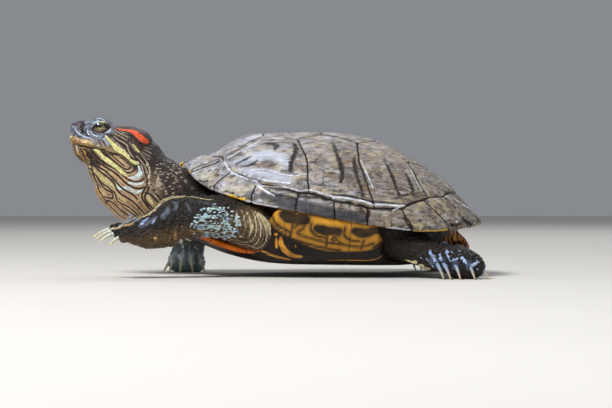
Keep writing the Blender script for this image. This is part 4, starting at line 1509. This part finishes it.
BLUE = [
    [(136, 217.8, 1.9), (130, 220.8, 2.6), (124, 223.4, 2.2), (119, 226, 1.4)],
    [(148, 217.6, 1.9), (144, 221.6, 2.4), (140, 224.7, 1.4)], [(155.2, 218.6, 1.9), (152.1, 223.7, 1.4)],
    [(426.1, 259, 2.4), (429, 261.9, 2.2), (433, 266.5, 1.4)],
    [(429.7, 252, 2.9), (433, 256.8, 2.4), (437, 262, 1.7)], [(439.3, 253.1, 2.2), (440.9, 260.5, 1.8)],
    [(445.9, 250.6, 2.9), (448.2, 256.1, 2.4), (450.6, 262, 1.7)], [(453.2, 259.4, 3), (456.9, 258.4, 2.6)],
    [(462, 257.5, 2.9), (464.9, 260.8, 2.4), (467, 264.5, 1.4)], [(472.3, 265.6, 3), (478.1, 262.3, 3)],
    [(477.6, 269.3, 2.2), (478.1, 270.4, 1.8)], [(419.5, 256.8, 1.4), (423.1, 259, 1.4)],
    [(445.1, 264.1, 1.8), (447.3, 265.6, 1.8)], [(451, 251.7, 1.1), (453.9, 253.1, 1.1)],
    [(458.3, 250.2, 0.8), (461.3, 251.7, 0.8)], [(467.1, 249.5, 0.8), (471.5, 254.6, 1.1)],
    [(458.3, 254.6, 1.1), (461.3, 254.2, 1.1)], [(475.9, 259, 1.1), (478.9, 262.7, 1.1)],
]
FRINGE = [
    [(406.4, 259.6, 2.4), (410.4, 260.8, 3.8), (414.4, 262, 4.3), (418.9, 263.6, 4.6), (422.9, 265.6, 4.2),
     (426.9, 267.4, 3.6), (430.8, 269, 2.6)],
]
TAIL_LINE = [
    [(453.2, 234.8, 1), (454.5, 240.7, 1.7)], [(455.8, 233.3, 1.7), (456.3, 240.7, 1.8)],
    [(459.2, 232.6, 1.3), (458.3, 239.9, 1.7)], [(463.3, 231.9, 1.4), (461.6, 239.9, 2.5)],
    [(464.9, 236.3, 0.8), (464.2, 242.9, 1)],
]
HEAD_MARKS = {  # alike on both sides
    "lime": LIME, "cream": CREAM, "white": WHITE, "ochre": OCHRE, "red": RED, "dark": DARK, "tan": TAN,
    "pale": PALE, "rim": LID_RIM,
}
LIMB_MARKS = {  # on the side that they are drawn on alone
    "arm_fold": FOLD_LINES, "arm_cream": CREAM_A, "arm_tan": TAN_A, "far_foot": FAR_FOOT, "mint": MINT,
    "sheen": SHEEN, "blue": BLUE, "fringe": FRINGE, "tail_line": TAIL_LINE,
}
MARK_COLOURS = {  # duller and brighter end of each marking's colour, in the order they are laid
    "between": ((86, 54, 36), (122, 84, 58)),
    "cream": ((168, 150, 100), (210, 196, 142)), "white": ((164, 178, 180), (212, 224, 222)),
    "ochre": ((168, 122, 50), (210, 164, 76)), "dark": ((24, 12, 9), (46, 27, 21)),
    "lime": ((172, 168, 104), (222, 220, 150)), "tan": ((142, 126, 108), (204, 190, 166)),
    "rim": ((150, 168, 190), (216, 228, 240)),
    "pale": ((126, 142, 160), (190, 204, 220)), "red": ((196, 58, 24), (248, 112, 62)),
    "arm_fold": ((92, 76, 56), (146, 126, 98)),
    "arm_cream": ((150, 134, 98), (200, 188, 152)), "arm_tan": ((140, 100, 56), (196, 160, 104)),
    "mint": ((140, 180, 182), (206, 232, 224)), "sheen": ((62, 66, 76), (112, 118, 138)),
    "blue": ((110, 134, 176), (188, 208, 238)), "far_foot": ((204, 226, 226), (246, 252, 246)),
    "fringe": ((190, 176, 128), (240, 230, 184)), "tail_line": ((214, 140, 66), (250, 190, 116)),
}

THROAT_STRIPE = 3.7  # spacing of the stripes on the front of the throat
BETWEEN_AWAY, BETWEEN_HALF = 1.5, 0.3
skin_form = form_of(points, [tuple(f.vertices) for f in skin.data.polygons])
marks = {name: marking(points, skin_form, strokes, True) for name, strokes in HEAD_MARKS.items()}
marks |= {name: marking(points, skin_form, strokes, False) for name, strokes in LIMB_MARKS.items()}
between = BETWEEN_HALF - np.abs(marks["dark"] + BETWEEN_AWAY)  # a thinner line runs beside each dark one
# the stripes run on over the front of the throat, where each side meets the other
sway = points[:, 1] + 0.9 * np.sin(points[:, 2] * 0.23 + 1.0) * np.sign(points[:, 1])
stripe = 0.42 - np.abs(np.mod(np.abs(sway), THROAT_STRIPE) - THROAT_STRIPE / 2)
facing = outward_of(skin.data)
throat = (smoothstep(13.5, 11, np.abs(points[:, 1])) * smoothstep(0.15, -0.1, facing[:, 2])
          * smoothstep(-100, -108, points[:, 0]) * smoothstep(77, 73, points[:, 2]) * (points[:, 2] > 34))
marks["dark"] = np.maximum(marks["dark"], np.maximum(stripe - 4 * (1 - throat), -3))
# dark lines lie in shallow grooves, pale ones stand a little proud
on_neck = smoothstep(-84, -92, points[:, 0]) * smoothstep(40, 44, points[:, 2] + 4)
relief = -0.14 * smoothstep(-0.3, 0.3, marks["dark"]) * on_neck
relief += 0.10 * smoothstep(-0.4, 0.4, np.maximum(marks["lime"], marks["white"]))
relief += 0.45 * smoothstep(-0.5, 0.5, marks["fringe"])
relief += 0.5 * smoothstep(-0.7, 0.5, marks["arm_cream"])
relief -= 0.25 * smoothstep(-2.2, -1.2, marks["arm_cream"])
points = points + outward_of(skin.data) * relief[:, None]
settle(skin.data, points)
for name, values in marks.items():
    store(skin.data, name, values)

# Ground colour of each region of the skin, from place alone.
side = seen_at(points)


def region(across, down, wide, tall, soft=0.35):
    """1 inside an oval of the side view, fading to 0 outside it."""
    r = np.hypot((side[:, 0] - across) / wide, (side[:, 1] - down) / tall)
    return smoothstep(1 + soft, 1 - soft, r)[:, None]


def below_line(a, b, soft=4.0):
    """1 below and ahead of a line of the side view, 0 above and behind it."""
    (x1, y1), (x2, y2) = a, b
    size = math.hypot(x2 - x1, y2 - y1)
    far = ((side[:, 0] - x1) * (y2 - y1) - (side[:, 1] - y1) * (x2 - x1)) / size
    return smoothstep(soft, -soft, far)[:, None]


def shade(*rgb):
    return np.array(linear(*rgb)[:3])


def where(mask):
    return np.asarray(mask, float).reshape(-1, 1)


neck_zone = where(smoothstep(-74, -91, points[:, 0]) * (np.abs(points[:, 1]) < 27))
pale_neck = neck_zone * below_line((112, 150), (172, 205))
head_zone = where(is_head & (np.abs(points[:, 1]) < 24))
lid_zone = where(share)
beak_front, beak_rear = shade(178, 142, 92), shade(92, 84, 64)
sheath_colour = beak_front + (beak_rear - beak_front) * smoothstep(84, 98, side[:, :1])
beak_line = sheath * np.exp(-((twin[:, 2] - through(BEAK_TOP, twin[:, 0]) + 0.75) / 0.4) ** 2)
arm_zone = where((points[:, 0] < -40) & (np.abs(points[:, 1]) > 30))
far_foot = where((points[:, 0] < -60) & (points[:, 1] > 30)) * smoothstep(
    24, 9, points[:, 2:] + 0.14 * (points[:, 1:2] - 44))
tail_zone = where((points[:, 0] > 66) & (np.abs(points[:, 1]) < 30))
pleats = np.sin(points[:, 0] * 2.0 + points[:, 2] * 0.3 + 0.8 * np.sin(points[:, 2] * 0.9))
thigh_zone = where((points[:, 0] > 30) & (points[:, 1] < -30)) * region(396, 250, 18, 13, 0.5)
toe_tops = where(smoothstep(-0.4, 1.8, knuckles))
ground = np.ones((len(points), 3)) * shade(27, 20, 16)
for colour, cover in [
    (shade(184, 154, 118), pale_neck),
    (shade(206, 160, 92), neck_zone * below_line((60, 140), (122, 222))),
    (shade(48, 38, 33), neck_zone * region(166, 170, 22, 36, 0.3)),
    (shade(150, 128, 98), neck_zone * region(150, 192, 12, 16, 0.5) * 0.6),
    (shade(64, 48, 42), head_zone * region(124, 141, 30, 17, 0.25)),
    (shade(176, 146, 108), head_zone * region(106, 158, 34, 11, 0.3) * pale_neck),
    (shade(112, 90, 62), head_zone * region(90, 152, 22, 12, 0.4)),
    (shade(76, 82, 96), head_zone * region(84, 128, 18, 12, 0.3)),
    (shade(92, 100, 116), head_zone * where(smoothstep(9.5, 7.0, around))),
    (shade(150, 152, 120), lid_zone * where(np.exp(-((gape - 1.25) / 0.22) ** 2) * (tall > 0)) * 0.6),
    (shade(212, 222, 242), lid_zone * where(np.exp(-((gape - 1.3) / 0.17) ** 2) * (tall < 0.1))),
    (shade(58, 44, 30), lid_zone * where(gape < 1.04)),
    (sheath_colour, where(sheath)),
    (shade(222, 208, 168), where(beak_line) * 0.85),
    (shade(92, 72, 44), arm_zone * below_line((140, 236), (212, 222), 7.0) * 0.85),
    (shade(78, 58, 38), arm_zone * region(256, 229, 24, 26)),
    (shade(120, 145, 155), far_foot),
    (shade(46, 28, 16), tail_zone),
    (shade(204, 132, 64), tail_zone * where(smoothstep(0.3, 0.9, pleats))),
    (shade(44, 32, 23), thigh_zone * 0.6),
    (shade(72, 82, 104), toe_tops * where(points[:, 0] > 50)),
    (shade(222, 238, 244), toe_tops * far_foot),
    (shade(14, 12, 12), where(smoothstep(-0.3, 1.6, webs)) * (0.9 - 0.45 * far_foot)),
]:
    ground += (colour - ground) * cover
ground = np.concatenate([ground, np.ones((len(points), 1))], 1)
store(skin.data, "ground", ground, "FLOAT_COLOR")
slate = head_zone[:, 0] * np.maximum(region(84, 128, 20, 13, 0.3)[:, 0], smoothstep(9.5, 7.0, around))
store(skin.data, "slate", np.maximum(slate, sheath * 0.9) * (gape > 1.04))
# where scales stand on the hide: coarse on forearms and feet, fine on shoulders and behind the neck
limb_zone = arm_zone[:, 0] * smoothstep(-56, -64, points[:, 0]) + (
    (points[:, 0] > 30) & (np.abs(points[:, 1]) > 38)) * 1.0
mosaic = arm_zone[:, 0] * region(218, 224, 27, 19, 0.3)[:, 0]
store(skin.data, "coarse", np.clip(limb_zone - mosaic, 0, 1) * (points[:, 2] > 1.5) * (webs < 0.5))
store(skin.data, "mosaic", mosaic)
speckled = neck_zone[:, 0] * region(170, 180, 24, 26, 0.4)[:, 0] * (points[:, 2] > 48)
store(skin.data, "speckled", speckled)
store(skin.data, "fringed", (marks["fringe"] > -0.5) * 1.0)
lined = np.maximum(pale_neck[:, 0], head_zone[:, 0] * region(120, 160, 20, 13, 0.3)[:, 0]) * (1 - throat)
store(skin.data, "between", between * lined - 3 * (1 - lined))
store(skin.data, "fine", np.clip(mosaic + speckled, 0, 1))


def as_grey(tree, value):
    return add_node(tree, "ShaderNodeCombineColor", {0: value, 1: value, 2: value}).outputs[0]


hide, tree, shader = new_material("hide", 0.36, 0.3)
mottle = remap(tree, grain(tree, 300, 6, roughness=0.65), 0.3, 0.7, 0.55, 1.4)
tone = blend_colours(tree, 1.0, read(tree, "ground", "Color"), as_grey(tree, mottle), "MULTIPLY")
smudge = remap(tree, grain(tree, 330, 5, (0.8, 1, 1), 0.65), 0.4, 0.6, 0.3, 1.7)
smudge = blend_colours(tree, read(tree, "slate"), (1, 1, 1, 1), as_grey(tree, smudge))
tone = blend_colours(tree, 1.0, tone, smudge, "MULTIPLY")
bloom = combine(tree, "MULTIPLY", read(tree, "tint"), remap(tree, grain(tree, 60), 0.45, 0.65))
tone = blend_colours(tree, combine(tree, "MULTIPLY", bloom, 0.24), tone, linear(84, 86, 98))
ragged = ragged_by(tree, grain(tree, 900, 3), 0.5)
paint_mottle = remap(tree, grain(tree, 520, 3), 0.35, 0.65)
for name, (dull, bright) in MARK_COLOURS.items():
    soft = 0.8 if name == "sheen" else 0.14
    edge = combine(tree, "ADD", ragged, 0.17) if name == "dark" else ragged
    tone = inked(tree, name, soft, edge, tone, dull, bright, paint_mottle)
painted = remap(tree, combine(tree, "MULTIPLY", read(tree, "tint"), read(tree, "mosaic")), 0.3, 0.36)
scale_tone = blend_colours(tree, paint_mottle, linear(112, 132, 164), linear(204, 226, 222))
tone = blend_colours(tree, painted, tone, scale_tone)
painted = remap(tree, combine(tree, "MULTIPLY", read(tree, "tint"), read(tree, "speckled")), 0.64, 0.7)
tone = blend_colours(tree, painted, tone, linear(152, 142, 122))
tree.links.new(tone, shader.inputs["Base Color"])
place = add_node(tree, "ShaderNodeTexCoord").outputs["Object"]
scales = add_node(tree, "ShaderNodeTexVoronoi", {"Vector": place, "Scale": 950.0, "Randomness": 0.9},
                  feature="DISTANCE_TO_EDGE").outputs["Distance"]
relief = bumped(tree, shader, remap(tree, scales, 0.0, 0.25), 0.0002)
relief = bumped(tree, shader, grain(tree, 260, 4), 0.0006, relief)
bumped(tree, shader, grain(tree, 1500, 4), 0.00012, relief)
skin.data.materials.clear()
skin.data.materials.append(hide)
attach(skin, "root")
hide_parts("trunk", "neck", "head", "jaw", "tail",
            *("leg_" + limb for limb in LIMBS), *("foot_" + limb for limb in LIMBS))

# ---------------------------------------------------------------- scales of the limbs
# Low domes of horn scattered over the hide of the limbs and the back of the neck, rooted in the
# skin. Geometry nodes strew them over the skin; each scale keeps the colour of its own place.
SCALE_SEGMENTS, SCALE_RINGS = 7, 4
SCALE_FLATNESS = 0.34
SCALE_LAYERS = {  # spacing, radius in millimetres, most scales per square metre, mask, seed, length
    "limb_scales": (1.9, 1.15, 400000.0, "coarse", 4, 1.15),
    "fine_scales": (1.15, 0.68, 1200000.0, "fine", 9, 1.7),
    "fringe_scales": (2.1, 1.9, 2000000.0, "fringed", 3, 1.15),
}


def strewing(name):
    """Node tree that strews flattened domes over a mesh where a named mask is high."""
    made = bpy.data.node_groups.new(name, "GeometryNodeTree")
    sockets = made.interface
    sockets.new_socket("Geometry", in_out="INPUT", socket_type="NodeSocketGeometry")
    for label, kind in (("Spacing", "Float"), ("Radius", "Float"), ("Most", "Float"), ("Mask", "String"),
                        ("Seed", "Int"), ("Stretch", "Vector"), ("Material", "Material")):
        sockets.new_socket(label, in_out="INPUT", socket_type="NodeSocket" + kind)
    sockets.new_socket("Geometry", in_out="OUTPUT", socket_type="NodeSocketGeometry")
    given = add_node(made, "NodeGroupInput").outputs
    mask = add_node(made, "GeometryNodeInputNamedAttribute", {"Name": given["Mask"]}, data_type="FLOAT")
    strewn = add_node(made, "GeometryNodeDistributePointsOnFaces", {
        "Mesh": given["Geometry"], "Distance Min": given["Spacing"], "Density Max": given["Most"],
        "Density Factor": mask.outputs["Attribute"], "Seed": given["Seed"]}, distribute_method="POISSON")
    dome = add_node(made, "GeometryNodeMeshUVSphere", {
        "Segments": SCALE_SEGMENTS, "Rings": SCALE_RINGS, "Radius": given["Radius"]}).outputs["Mesh"]
    dome = add_node(made, "GeometryNodeTransform", {
        "Geometry": dome, "Scale": given["Stretch"]}).outputs["Geometry"]
    size = add_node(made, "FunctionNodeRandomValue", {"Seed": given["Seed"]}, data_type="FLOAT")
    size.inputs[2].default_value, size.inputs[3].default_value = 0.7, 1.15
    placed = add_node(made, "GeometryNodeInstanceOnPoints", {
        "Points": strewn.outputs["Points"], "Instance": dome, "Rotation": strewn.outputs["Rotation"],
        "Scale": size.outputs[1]}).outputs["Instances"]
    tint = add_node(made, "FunctionNodeRandomValue", {"Seed": 77}, data_type="FLOAT")
    tinted = add_node(made, "GeometryNodeStoreNamedAttribute", {
        "Geometry": placed, "Name": "tint"}, data_type="FLOAT", domain="INSTANCE")
    made.links.new(tint.outputs[1], tinted.inputs["Value"])
    real = add_node(made, "GeometryNodeRealizeInstances", {"Geometry": tinted.outputs["Geometry"]})
    dressed = add_node(made, "GeometryNodeSetMaterial", {
        "Geometry": real.outputs["Geometry"], "Material": given["Material"]})
    add_node(made, "NodeGroupOutput", {"Geometry": dressed.outputs["Geometry"]})
    return made


SCALE_POINTS = SCALE_SEGMENTS * (SCALE_RINGS - 1) + 2
PATCH = 0.003  # width of one scale on its bake map
STEMS = [NECK] + list(LIMBS.values())


def lay_patches(mesh):
    """Bake map with each scale as a small patch at its root's place on the unrolled neck or limb."""
    flat = np.empty(len(mesh.vertices) * 3)
    mesh.vertices.foreach_get("co", flat)
    each = flat.reshape(-1, SCALE_POINTS, 3) / MM - metres(np.zeros((1, 3))) / MM
    roots = each.mean(1)
    away, place = [], []
    for stem in STEMS:
        centre, along, across, up, _ = limb_frames(stem)
        gaps = np.linalg.norm(roots[:, None] - centre, axis=2)
        nearest = gaps.argmin(1)
        off = roots - centre[nearest]
        run = np.concatenate([[0], np.cumsum(np.linalg.norm(np.diff(centre, axis=0), axis=1))])
        length = np.clip((run[nearest] + (off * along[nearest]).sum(1)) / run[-1], 0, 1)
        turn = np.arctan2((off * up[nearest]).sum(1), (off * across[nearest]).sum(1)) / (2 * np.pi) + 0.5
        away.append(gaps.min(1))
        place.append(np.stack([length, turn], 1))
    stem_of = np.argmin(away, 0)
    used, column = np.unique(stem_of, return_inverse=True)
    spot = 0.03 + 0.94 * np.array(place)[stem_of, np.arange(len(roots))]
    spot[:, 0] = (column.ravel() + spot[:, 0]) / len(used)
    spread = each - roots[:, None]
    axes = np.linalg.svd(spread, full_matrices=False)[2][:, :2]
    lying = spread @ axes.transpose(0, 2, 1)
    lying *= PATCH / 2 / np.abs(lying).max((1, 2), keepdims=True)
    spots = (spot[:, None] + lying).reshape(-1, 2)
    corners = np.empty(len(mesh.loops), int)
    mesh.loops.foreach_get("vertex_index", corners)
    mesh.uv_layers.new(name="OFBake").data.foreach_set("uv", spots[corners].ravel())


scale_strewing = strewing("strew_scales")
for name, (spacing, radius, most, mask, seed, length) in SCALE_LAYERS.items():
    source = put_in_scene(name + "_source", skin.data.copy())
    strew = source.modifiers.new("strew", "NODES")
    strew.node_group = scale_strewing
    wanted = {"Spacing": spacing * MM, "Radius": radius * MM, "Most": most, "Mask": mask, "Seed": seed,
              "Stretch": (length, 0.9, SCALE_FLATNESS), "Material": hide}
    for socket in scale_strewing.interface.items_tree:
        if socket.in_out == "INPUT" and socket.name in wanted:
            strew[socket.identifier] = wanted[socket.name]
    strewn = bpy.data.meshes.new_from_object(source.evaluated_get(bpy.context.evaluated_depsgraph_get()))
    bpy.data.meshes.remove(source.data)
    strewn.polygons.foreach_set("use_smooth", [True] * len(strewn.polygons))
    lay_patches(strewn)
    made = put_in_scene(name, strewn)
    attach(made, "root")

# ---------------------------------------------------------------- eyes
# Wet balls set under the lids. The iris is yellow-green, crossed by a dark bar through the pupil,
# and turned a little upward.
GAZE = {-1: (0.16, -1.0, 0.2), 1: (0.16, 1.0, 0.2)}
PUPIL_RADIUS, BAR_HALF = 1.25, (3.7, 1.05)
eye_coat, tree, shader = new_material("wet_eye", 0.06, 0.6)
shader.inputs["Coat Weight"].default_value = 1.0
shader.inputs["Coat Roughness"].default_value = 0.03
flecks = remap(tree, grain(tree, 700, 3), 0.4, 0.6)
tone = blend_colours(tree, flecks, linear(84, 80, 34), linear(150, 156, 78))
tone = blend_colours(tree, remap(tree, read(tree, "from_pupil"), 2.2, 3.1), tone, linear(78, 56, 28))
tone = blend_colours(tree, remap(tree, read(tree, "from_pupil"), 3.6, 4.2), tone, linear(40, 30, 20))
tone = blend_colours(tree, remap(tree, read(tree, "bar"), -0.12, 0.12), tone, linear(8, 7, 6))
tree.links.new(tone, shader.inputs["Base Color"])
bumped(tree, shader, grain(tree, 1200, 2), 0.00001)
for sign, name in ((-1, "eye_left"), (1, "eye_right")):
    centre = EYE_AT * [1, sign, 1]
    points, faces = ball(centre, [EYE_RADIUS] * 3, 64, 40)
    gaze = np.array(GAZE[sign])
    gaze /= np.linalg.norm(gaze)
    toward = (points - centre) / EYE_RADIUS
    rise = np.cross(np.cross(gaze, [0, 0, 1]), gaze)
    rise /= np.linalg.norm(rise)
    ahead = np.cross(gaze, rise)
    u, v = toward @ ahead * EYE_RADIUS, toward @ rise * EYE_RADIUS
    u, v = np.where(toward @ gaze > 0, u, 9), np.where(toward @ gaze > 0, v, 9)
    made = put_in_scene(name + "_ball", mesh_from(name + "_ball", points, faces))
    store(made.data, "from_pupil", np.hypot(u, v))
    pupil = PUPIL_RADIUS - np.hypot(u, v)
    bar = np.minimum(BAR_HALF[1] - np.abs(v), BAR_HALF[0] - np.abs(u))
    store(made.data, "bar", np.maximum(pupil, bar))
    made.data.materials.append(eye_coat)
    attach(made, "root")
    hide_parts(name)

# ---------------------------------------------------------------- claws
# Long curved horn on every toe, grey where it leaves the skin and tan at the worn tip.
CLAW_SIDES, CLAW_STEPS = 14, 10
FAIR_CLAWS = {"front_right": 0.8, "front_left": 0.45}  # how pale the horn is
claw_horn, tree, shader = new_material("claw_horn", 0.34, 0.3)
tone = blend_colours(tree, remap(tree, read(tree, "along_claw"), 0.45, 1.0), linear(126, 144, 174),
                     linear(190, 164, 118))
tone = blend_colours(tree, read(tree, "fair"), tone, linear(246, 242, 196))
streaks = remap(tree, grain(tree, 900, 4, (1, 1, 0.3)), 0.3, 0.7, 0.7, 1.15)
tone = blend_colours(tree, 1.0, tone, as_grey(tree, streaks), "MULTIPLY")
tree.links.new(tone, shader.inputs["Base Color"])
bumped(tree, shader, grain(tree, 1800, 3), 0.00005)


def claw_rings(pair):
    start, tip = np.array(pair, float)
    root = start + (tip - start) * (1 - CLAW_SHARE * 1.4) + [0, 0, CLAW_ARCH * 1.25]
    bend = root + (tip - root) * 0.55 + [0, 0, CLAW_ARCH * 0.75]
    radii = (CLAW_RADIUS * 0.95, CLAW_RADIUS * 0.78, CLAW_TIP)
    return loft([[*p, r, r] for p, r in zip((root, bend, tip), radii)], CLAW_SIDES, CLAW_STEPS)


for limb, pairs in TOES.items():
    for number, pair in enumerate(pairs, 1):
        rings = claw_rings(pair)
        points, faces = closed(rings)
        points[:, 2] = np.maximum(points[:, 2], 0)
        made = put_in_scene(f"horn_{limb}_{number}", mesh_from(f"horn_{limb}_{number}", points, faces))
        along = np.repeat(np.linspace(0, 1, len(rings)), CLAW_SIDES)
        store(made.data, "along_claw", np.concatenate([along, [0, 1]]))
        store(made.data, "fair", np.full(len(points), FAIR_CLAWS.get(limb, 0.0)))
        made.data.materials.append(claw_horn)
        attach(made, "root")
        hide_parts(f"claw_{limb}_{number}")
